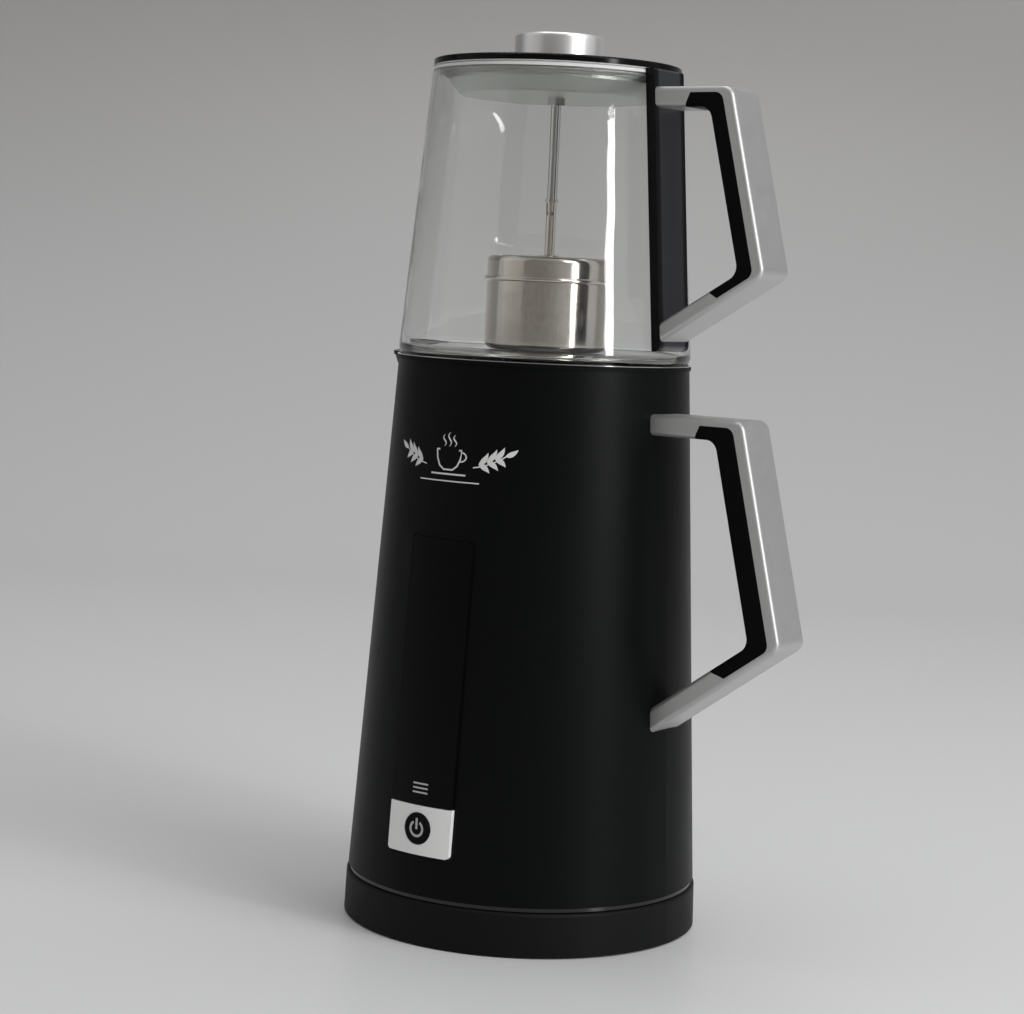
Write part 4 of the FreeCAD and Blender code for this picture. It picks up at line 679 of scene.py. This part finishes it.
button_black = Finish("button_black", (0.003, 0.003, 0.003), 0.3, Specular_IOR_Level=0.07)
button_black.feed("Roughness", 0.26 + 0.1 * button_black.noise(0.003))
button_black.cover("power_button")

bars = [
    even(line_between((-BAR_HALF, up), (BAR_HALF, up), 8), BAR_THICK) for up in BAR_HEIGHTS
]
level_bars = print_strokes(
    "level_bars", lambda across, up: on_the_cone(across, up, PANEL_PROUD + INK_PROUD), bars
)
grey_ink = Finish("grey_ink", (0.5, 0.5, 0.5), 0.45)
grey_ink.feed("Roughness", 0.4 + 0.15 * grey_ink.noise(0.001))
grey_ink.cover(level_bars)
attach(level_bars, "kettle")

SIGN_RADIUS, SIGN_WIDTH = 0.003, 0.001
SIGN_BAR_LOW, SIGN_BAR_HIGH = -0.0002, 0.0044
button_low, button_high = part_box("power_button")
button_up = (button_low.z + button_high.z) / 2
open_ring = [
    (
        SIGN_RADIUS * math.sin(math.radians(angle)),
        button_up + SIGN_RADIUS * math.cos(math.radians(angle)),
    )
    for angle in range(30, 331, 10)
]
sign_bar = line_between((0.0, button_up + SIGN_BAR_LOW), (0.0, button_up + SIGN_BAR_HIGH), 4)
on_off_sign = print_strokes(
    "on_off_sign",
    lambda across, up: Vector((across, button_low.y - INK_PROUD, up)),
    [even(open_ring, SIGN_WIDTH), even(sign_bar, SIGN_WIDTH)],
)
grey_ink.cover(on_off_sign)
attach(on_off_sign, "button")


# --------------------------------------------------------------------------------------
# Inside the kettle: a drawn steel tank with a cast heater under its floor, the switches
# and sensors there, the circuit board behind the panel, and their wires.
# --------------------------------------------------------------------------------------
drawn_steel = Finish("drawn_steel", (0.6, 0.6, 0.6), 0.3, Metallic=1.0)
drawn_lines = drawn_steel.noise(0.002, 3.0, drawn_steel.stretched(1.0, 1.0, 0.06))
drawn_steel.feed("Roughness", 0.24 + 0.18 * drawn_lines)
drawn_steel.emboss(drawn_lines, 0.00002)
drawn_steel.cover("kettle_tank")

cast = Finish("heater_aluminium", (0.68, 0.69, 0.7), 0.45, Metallic=1.0)
cast.feed("Roughness", 0.36 + 0.25 * cast.noise(0.002, 4.0))
cast.emboss(cast.noise(0.0012, 4.0), 0.00006)
cast.cover("heating_plate", "heating_element")

stoneware = Finish("ceramic_body", (0.74, 0.71, 0.64), 0.7)
stoneware.vary_colour((0.68, 0.65, 0.57), (0.8, 0.77, 0.7), stoneware.noise(0.002))
stoneware.cover("thermostat", "thermal_fuse", "temperature_sensor")

board_green = Finish("circuit_board", (0.02, 0.14, 0.05), 0.35)
tracks = board_green.node(
    "ShaderNodeTexBrick",
    None,
    Vector=board_green.place,
    Scale=180.0,
    Mortar_Size=0.03,
    output="Fac",
)
board_green.vary_colour((0.015, 0.11, 0.04), (0.05, 0.26, 0.09), tracks)
board_green.cover("control_board")

relay_case = Finish("relay_case", (0.02, 0.05, 0.16), 0.4)
relay_case.feed("Roughness", 0.35 + 0.12 * relay_case.noise(0.002))
relay_case.cover("relay")

plunger_white = Finish("plunger_white", (0.72, 0.72, 0.7), 0.45)
plunger_white.feed("Roughness", 0.4 + 0.12 * plunger_white.noise(0.002))
plunger_white.cover("switch_plunger")

braid = Finish("braided_sleeving", (0.66, 0.62, 0.54), 0.85)
weave = braid.node(
    "ShaderNodeTexWave", {"bands_direction": "DIAGONAL"}, Vector=braid.place, Scale=420.0
)
braid.vary_colour((0.5, 0.46, 0.38), (0.74, 0.7, 0.62), weave)
braid.emboss(weave, 0.0001)
braid.cover("kettle_wires")


# --------------------------------------------------------------------------------------
# Handles: die cast frames painted satin silver, each with a black moulded grip pressed
# into its inner side.  The teapot's stands on a black strip that follows the glass.
# --------------------------------------------------------------------------------------
silver = Finish(
    "satin_silver",
    (0.525, 0.525, 0.52),
    0.42,
    Metallic=0.8,
    Coat_Weight=0.08,
    Coat_Roughness=0.4,
)
flakes = silver.noise(0.00025)
silver.feed("Roughness", 0.38 + 0.1 * silver.noise(0.006, 3.0) + 0.04 * flakes)
silver.emboss(flakes, 0.000012)
silver.cover("kettle_handle_frame", "teapot_handle_frame")

grip = Finish("grip_black", (0.0028, 0.0028, 0.003), 0.48, Specular_IOR_Level=0.06)
grip.feed("Roughness", 0.42 + 0.14 * grip.noise(0.008))
grip.emboss(grip.noise(0.0004, 3.0), 0.00003)
grip.cover("kettle_handle_grip", "teapot_handle_grip")

# The strip is glossy and turns matte towards its two long edges.  Its colour is painted light: a
# lighter bluish painted sheen down the middle and painted shade darkening it towards the edges.
STRIP_SHEEN, STRIP_EDGE_SHADE = (0.02, 0.022, 0.028), (0.002, 0.002, 0.0022)
EDGE_START, EDGE_WIDTH = 0.0072, 0.0018
strip = Finish("strip_black", STRIP_SHEEN, 0.3, Specular_IOR_Level=0.2, Coat_Roughness=0.16)
strip.feed("Roughness", 0.28 + 0.06 * strip.noise(0.02))
edge_shade = ((abs(strip.along(0.0, 1.0, 0.0)) - EDGE_START) / EDGE_WIDTH).clamped()
# Painted sheen in the middle, painted shade towards the two long edges.
strip.vary_colour(STRIP_SHEEN, STRIP_EDGE_SHADE, edge_shade)
strip.feed("Coat Weight", 1.0 - edge_shade)
strip.cover("handle_strip")


# --------------------------------------------------------------------------------------
# Teapot: one piece of clear blown glass, slightly uneven, with a thick floor and a round
# foot.  While it is hot its rim is drawn out into a soft pouring lip, opposite the handle.
# --------------------------------------------------------------------------------------
POT_FOOT_RADIUS, POT_RIM_RADIUS = 0.0619, 0.05185
POT_WALL, POT_FLOOR = 0.0022, 0.003
FOOT_BEND, FLOOR_BEND, RIM_BEND = 0.0046, 0.003, 0.0008
GROUND_EDGE = 0.0015
FLAT_RADII = (0.02, 0.04)
LIP_REACH, LIP_DROP, LIP_FLARE = 0.0084, 0.026, 1.7
LIP_AT, LIP_HALF_TURN = 180.0, 34.0
POT_STEPS_ROUND, POT_STEPS_UP = 180, 40

pot_low, pot_high = (corner.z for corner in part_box("teapot_glass"))
pot_floor = pot_low + POT_FLOOR
foot_top, floor_top, rim_start = pot_low + FOOT_BEND, pot_floor + FLOOR_BEND, pot_high - RIM_BEND


def pot_radius(up, inside=0.0):
    """Radius of the pot's cone at a height, outside or some way inside the wall."""
    share = (up - pot_low) / (pot_high - pot_low)
    return POT_FOOT_RADIUS + (POT_RIM_RADIUS - POT_FOOT_RADIUS) * share - inside


def bend_between(corner_radius, centre_radius, centre_up, start, end):
    """Points of an arc in the pot's profile, from one angle to another by 15 degrees."""
    step = 15 if end > start else -15
    return [
        (
            centre_radius + corner_radius * math.cos(math.radians(angle)),
            centre_up + corner_radius * math.sin(math.radians(angle)),
        )
        for angle in range(start, end + step, step)
    ]


# The profile goes out along the foot, up the outer wall, over the rim and down to the floor.
outer_wall = numpy.linspace(foot_top, pot_high - GROUND_EDGE, POT_STEPS_UP)[1:]
inner_wall = numpy.linspace(rim_start, floor_top, POT_STEPS_UP)[:-1]
outer_rim, inner_rim = pot_radius(pot_high), pot_radius(pot_high, POT_WALL)
pot_profile = [(radius, pot_low) for radius in FLAT_RADII]
pot_profile += bend_between(FOOT_BEND, pot_radius(foot_top) - FOOT_BEND, foot_top, -90, 0)
pot_profile += [(pot_radius(up), up) for up in (*outer_wall, rim_start)]
pot_profile += bend_between(RIM_BEND, outer_rim - RIM_BEND, rim_start, 15, 90)
pot_profile += bend_between(RIM_BEND, inner_rim + RIM_BEND, rim_start, 90, 165)
pot_profile += [(pot_radius(up, POT_WALL), up) for up in inner_wall]
pot_profile += bend_between(
    FLOOR_BEND, pot_radius(floor_top, POT_WALL) - FLOOR_BEND, floor_top, 0, -90
)
pot_profile += [(radius, pot_floor) for radius in reversed(FLAT_RADII)]

pot = bmesh.new()
pot_rows = []
for radius, up in pot_profile:
    rise = min(max((up - pot_high + LIP_DROP) / LIP_DROP, 0.0), 1.0)
    ring = []
    for step in range(POT_STEPS_ROUND):
        angle = 360.0 * step / POT_STEPS_ROUND
        aside = min(abs(angle - LIP_AT) / LIP_HALF_TURN, 1.0)
        drawn = LIP_REACH * rise**LIP_FLARE * math.cos(math.pi / 2 * aside) ** 2
        way = Vector((math.cos(math.radians(angle)), math.sin(math.radians(angle)), 0.0))
        ring.append(pot.verts.new(way * (radius + drawn) + Vector((0.0, 0.0, up))))
    pot_rows.append([*ring, ring[0]])
skin(pot, pot_rows)
for row, up in ((pot_rows[0], pot_low), (pot_rows[-1], pot_floor)):
    middle = pot.verts.new((0.0, 0.0, up))
    for start, end in zip(row, row[1:]):
        pot.faces.new((start, middle, end))
bmesh.ops.recalc_face_normals(pot, faces=pot.faces)
blown_pot = stand("blown_pot", pot)

glass = Finish("clear_glass", (0.94, 0.95, 0.94), 0.0, Transmission_Weight=1.0, IOR=1.47)
glass.emboss(glass.noise(0.028, 1.0), 0.00028)
glass.cover(blown_pot)

# The rim is ground flat, rough and mostly opaque, and painted near white: a painted highlight
# that shows as a white line under the lid.
ground_edge_highlight = Finish(
    "ground_glass_edge_highlight", (0.93, 0.93, 0.92), 0.6, Transmission_Weight=0.25, IOR=1.47
)
ground_edge_highlight.feed("Roughness", 0.55 + 0.1 * ground_edge_highlight.noise(0.002))
blown_pot.data.materials.append(ground_edge_highlight.material)
for face in blown_pot.data.polygons:
    on_the_rim = face.center.z > pot_high - GROUND_EDGE
    facing_out = face.normal.xy.dot(face.center.xy) >= 0.0
    face.material_index = int(on_the_rim and facing_out)
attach(blown_pot, "teapot")
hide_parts("teapot_glass")


# --------------------------------------------------------------------------------------
# Lid: glossy black disc with a round steel knob on top; below it a grey silicone gasket
# and a shallow steel cup, all held by the polished rod of the infuser.
# --------------------------------------------------------------------------------------
lacquer = Finish("glossy_black", (0.003, 0.003, 0.0032), 0.14, Specular_IOR_Level=0.12)
lacquer.feed("Roughness", 0.1 + 0.1 * lacquer.noise(0.01))
lacquer.cover("lid_disc")

knob_steel = Finish("turned_steel", (0.93, 0.92, 0.91), 0.3, Metallic=0.82)
turned_lines = knob_steel.noise(0.0006, 3.0, knob_steel.stretched(0.05, 0.05, 1.0))
knob_steel.feed("Roughness", 0.24 + 0.14 * turned_lines)
knob_steel.emboss(turned_lines, 0.00001)
knob_steel.cover("lid_knob")

cup_steel = Finish("satin_cup_steel", (0.68, 0.69, 0.65), 0.38, Metallic=0.55)
cup_steel.feed("Roughness", 0.34 + 0.1 * cup_steel.noise(0.004))
cup_steel.cover("lid_inner_cup")

# The gasket's top edge, between the disc and the glass, is painted whiter: a painted highlight
# that shows as a white line.
GASKET_GREY, GASKET_HIGHLIGHT = (0.62, 0.62, 0.59), (0.95, 0.95, 0.93)
HIGHLIGHT_BAND = 0.0018
silicone = Finish("grey_silicone", GASKET_GREY, 0.5)
gasket_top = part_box("lid_gasket")[1].z
highlight_mask = silicone.along(0.0, 0.0, 1.0) > gasket_top - HIGHLIGHT_BAND
# Painted highlight along the gasket's top edge.
silicone.vary_colour(GASKET_GREY, GASKET_HIGHLIGHT, highlight_mask)
silicone.feed("Roughness", 0.5 + 0.15 * silicone.noise(0.002))
silicone.cover("lid_gasket")

mirror = Finish("mirror_polished_steel", (0.74, 0.73, 0.71), 0.06, Metallic=1.0)
mirror.feed("Roughness", 0.035 + 0.06 * mirror.noise(0.006, 4.0))
mirror.emboss(mirror.noise(0.009), 0.00008)
mirror.cover("lid_rod", "rod_nut", "bayonet_pin")


# --------------------------------------------------------------------------------------
# Infuser: a polished steel basket with holes in its floor, a cap that it twists into, and
# the cap's tube, which takes the end of the rod.
# --------------------------------------------------------------------------------------
polished = Finish("polished_infuser_steel", (0.86, 0.79, 0.73), 0.13, Metallic=1.0)
buffed_lines = polished.noise(0.0009, 3.0, polished.stretched(1.0, 1.0, 0.12))
polished.feed("Roughness", 0.1 + 0.1 * buffed_lines)
polished.emboss(polished.noise(0.011), 0.00009)
polished.cover("infuser_basket", "infuser_cap", "infuser_tube")
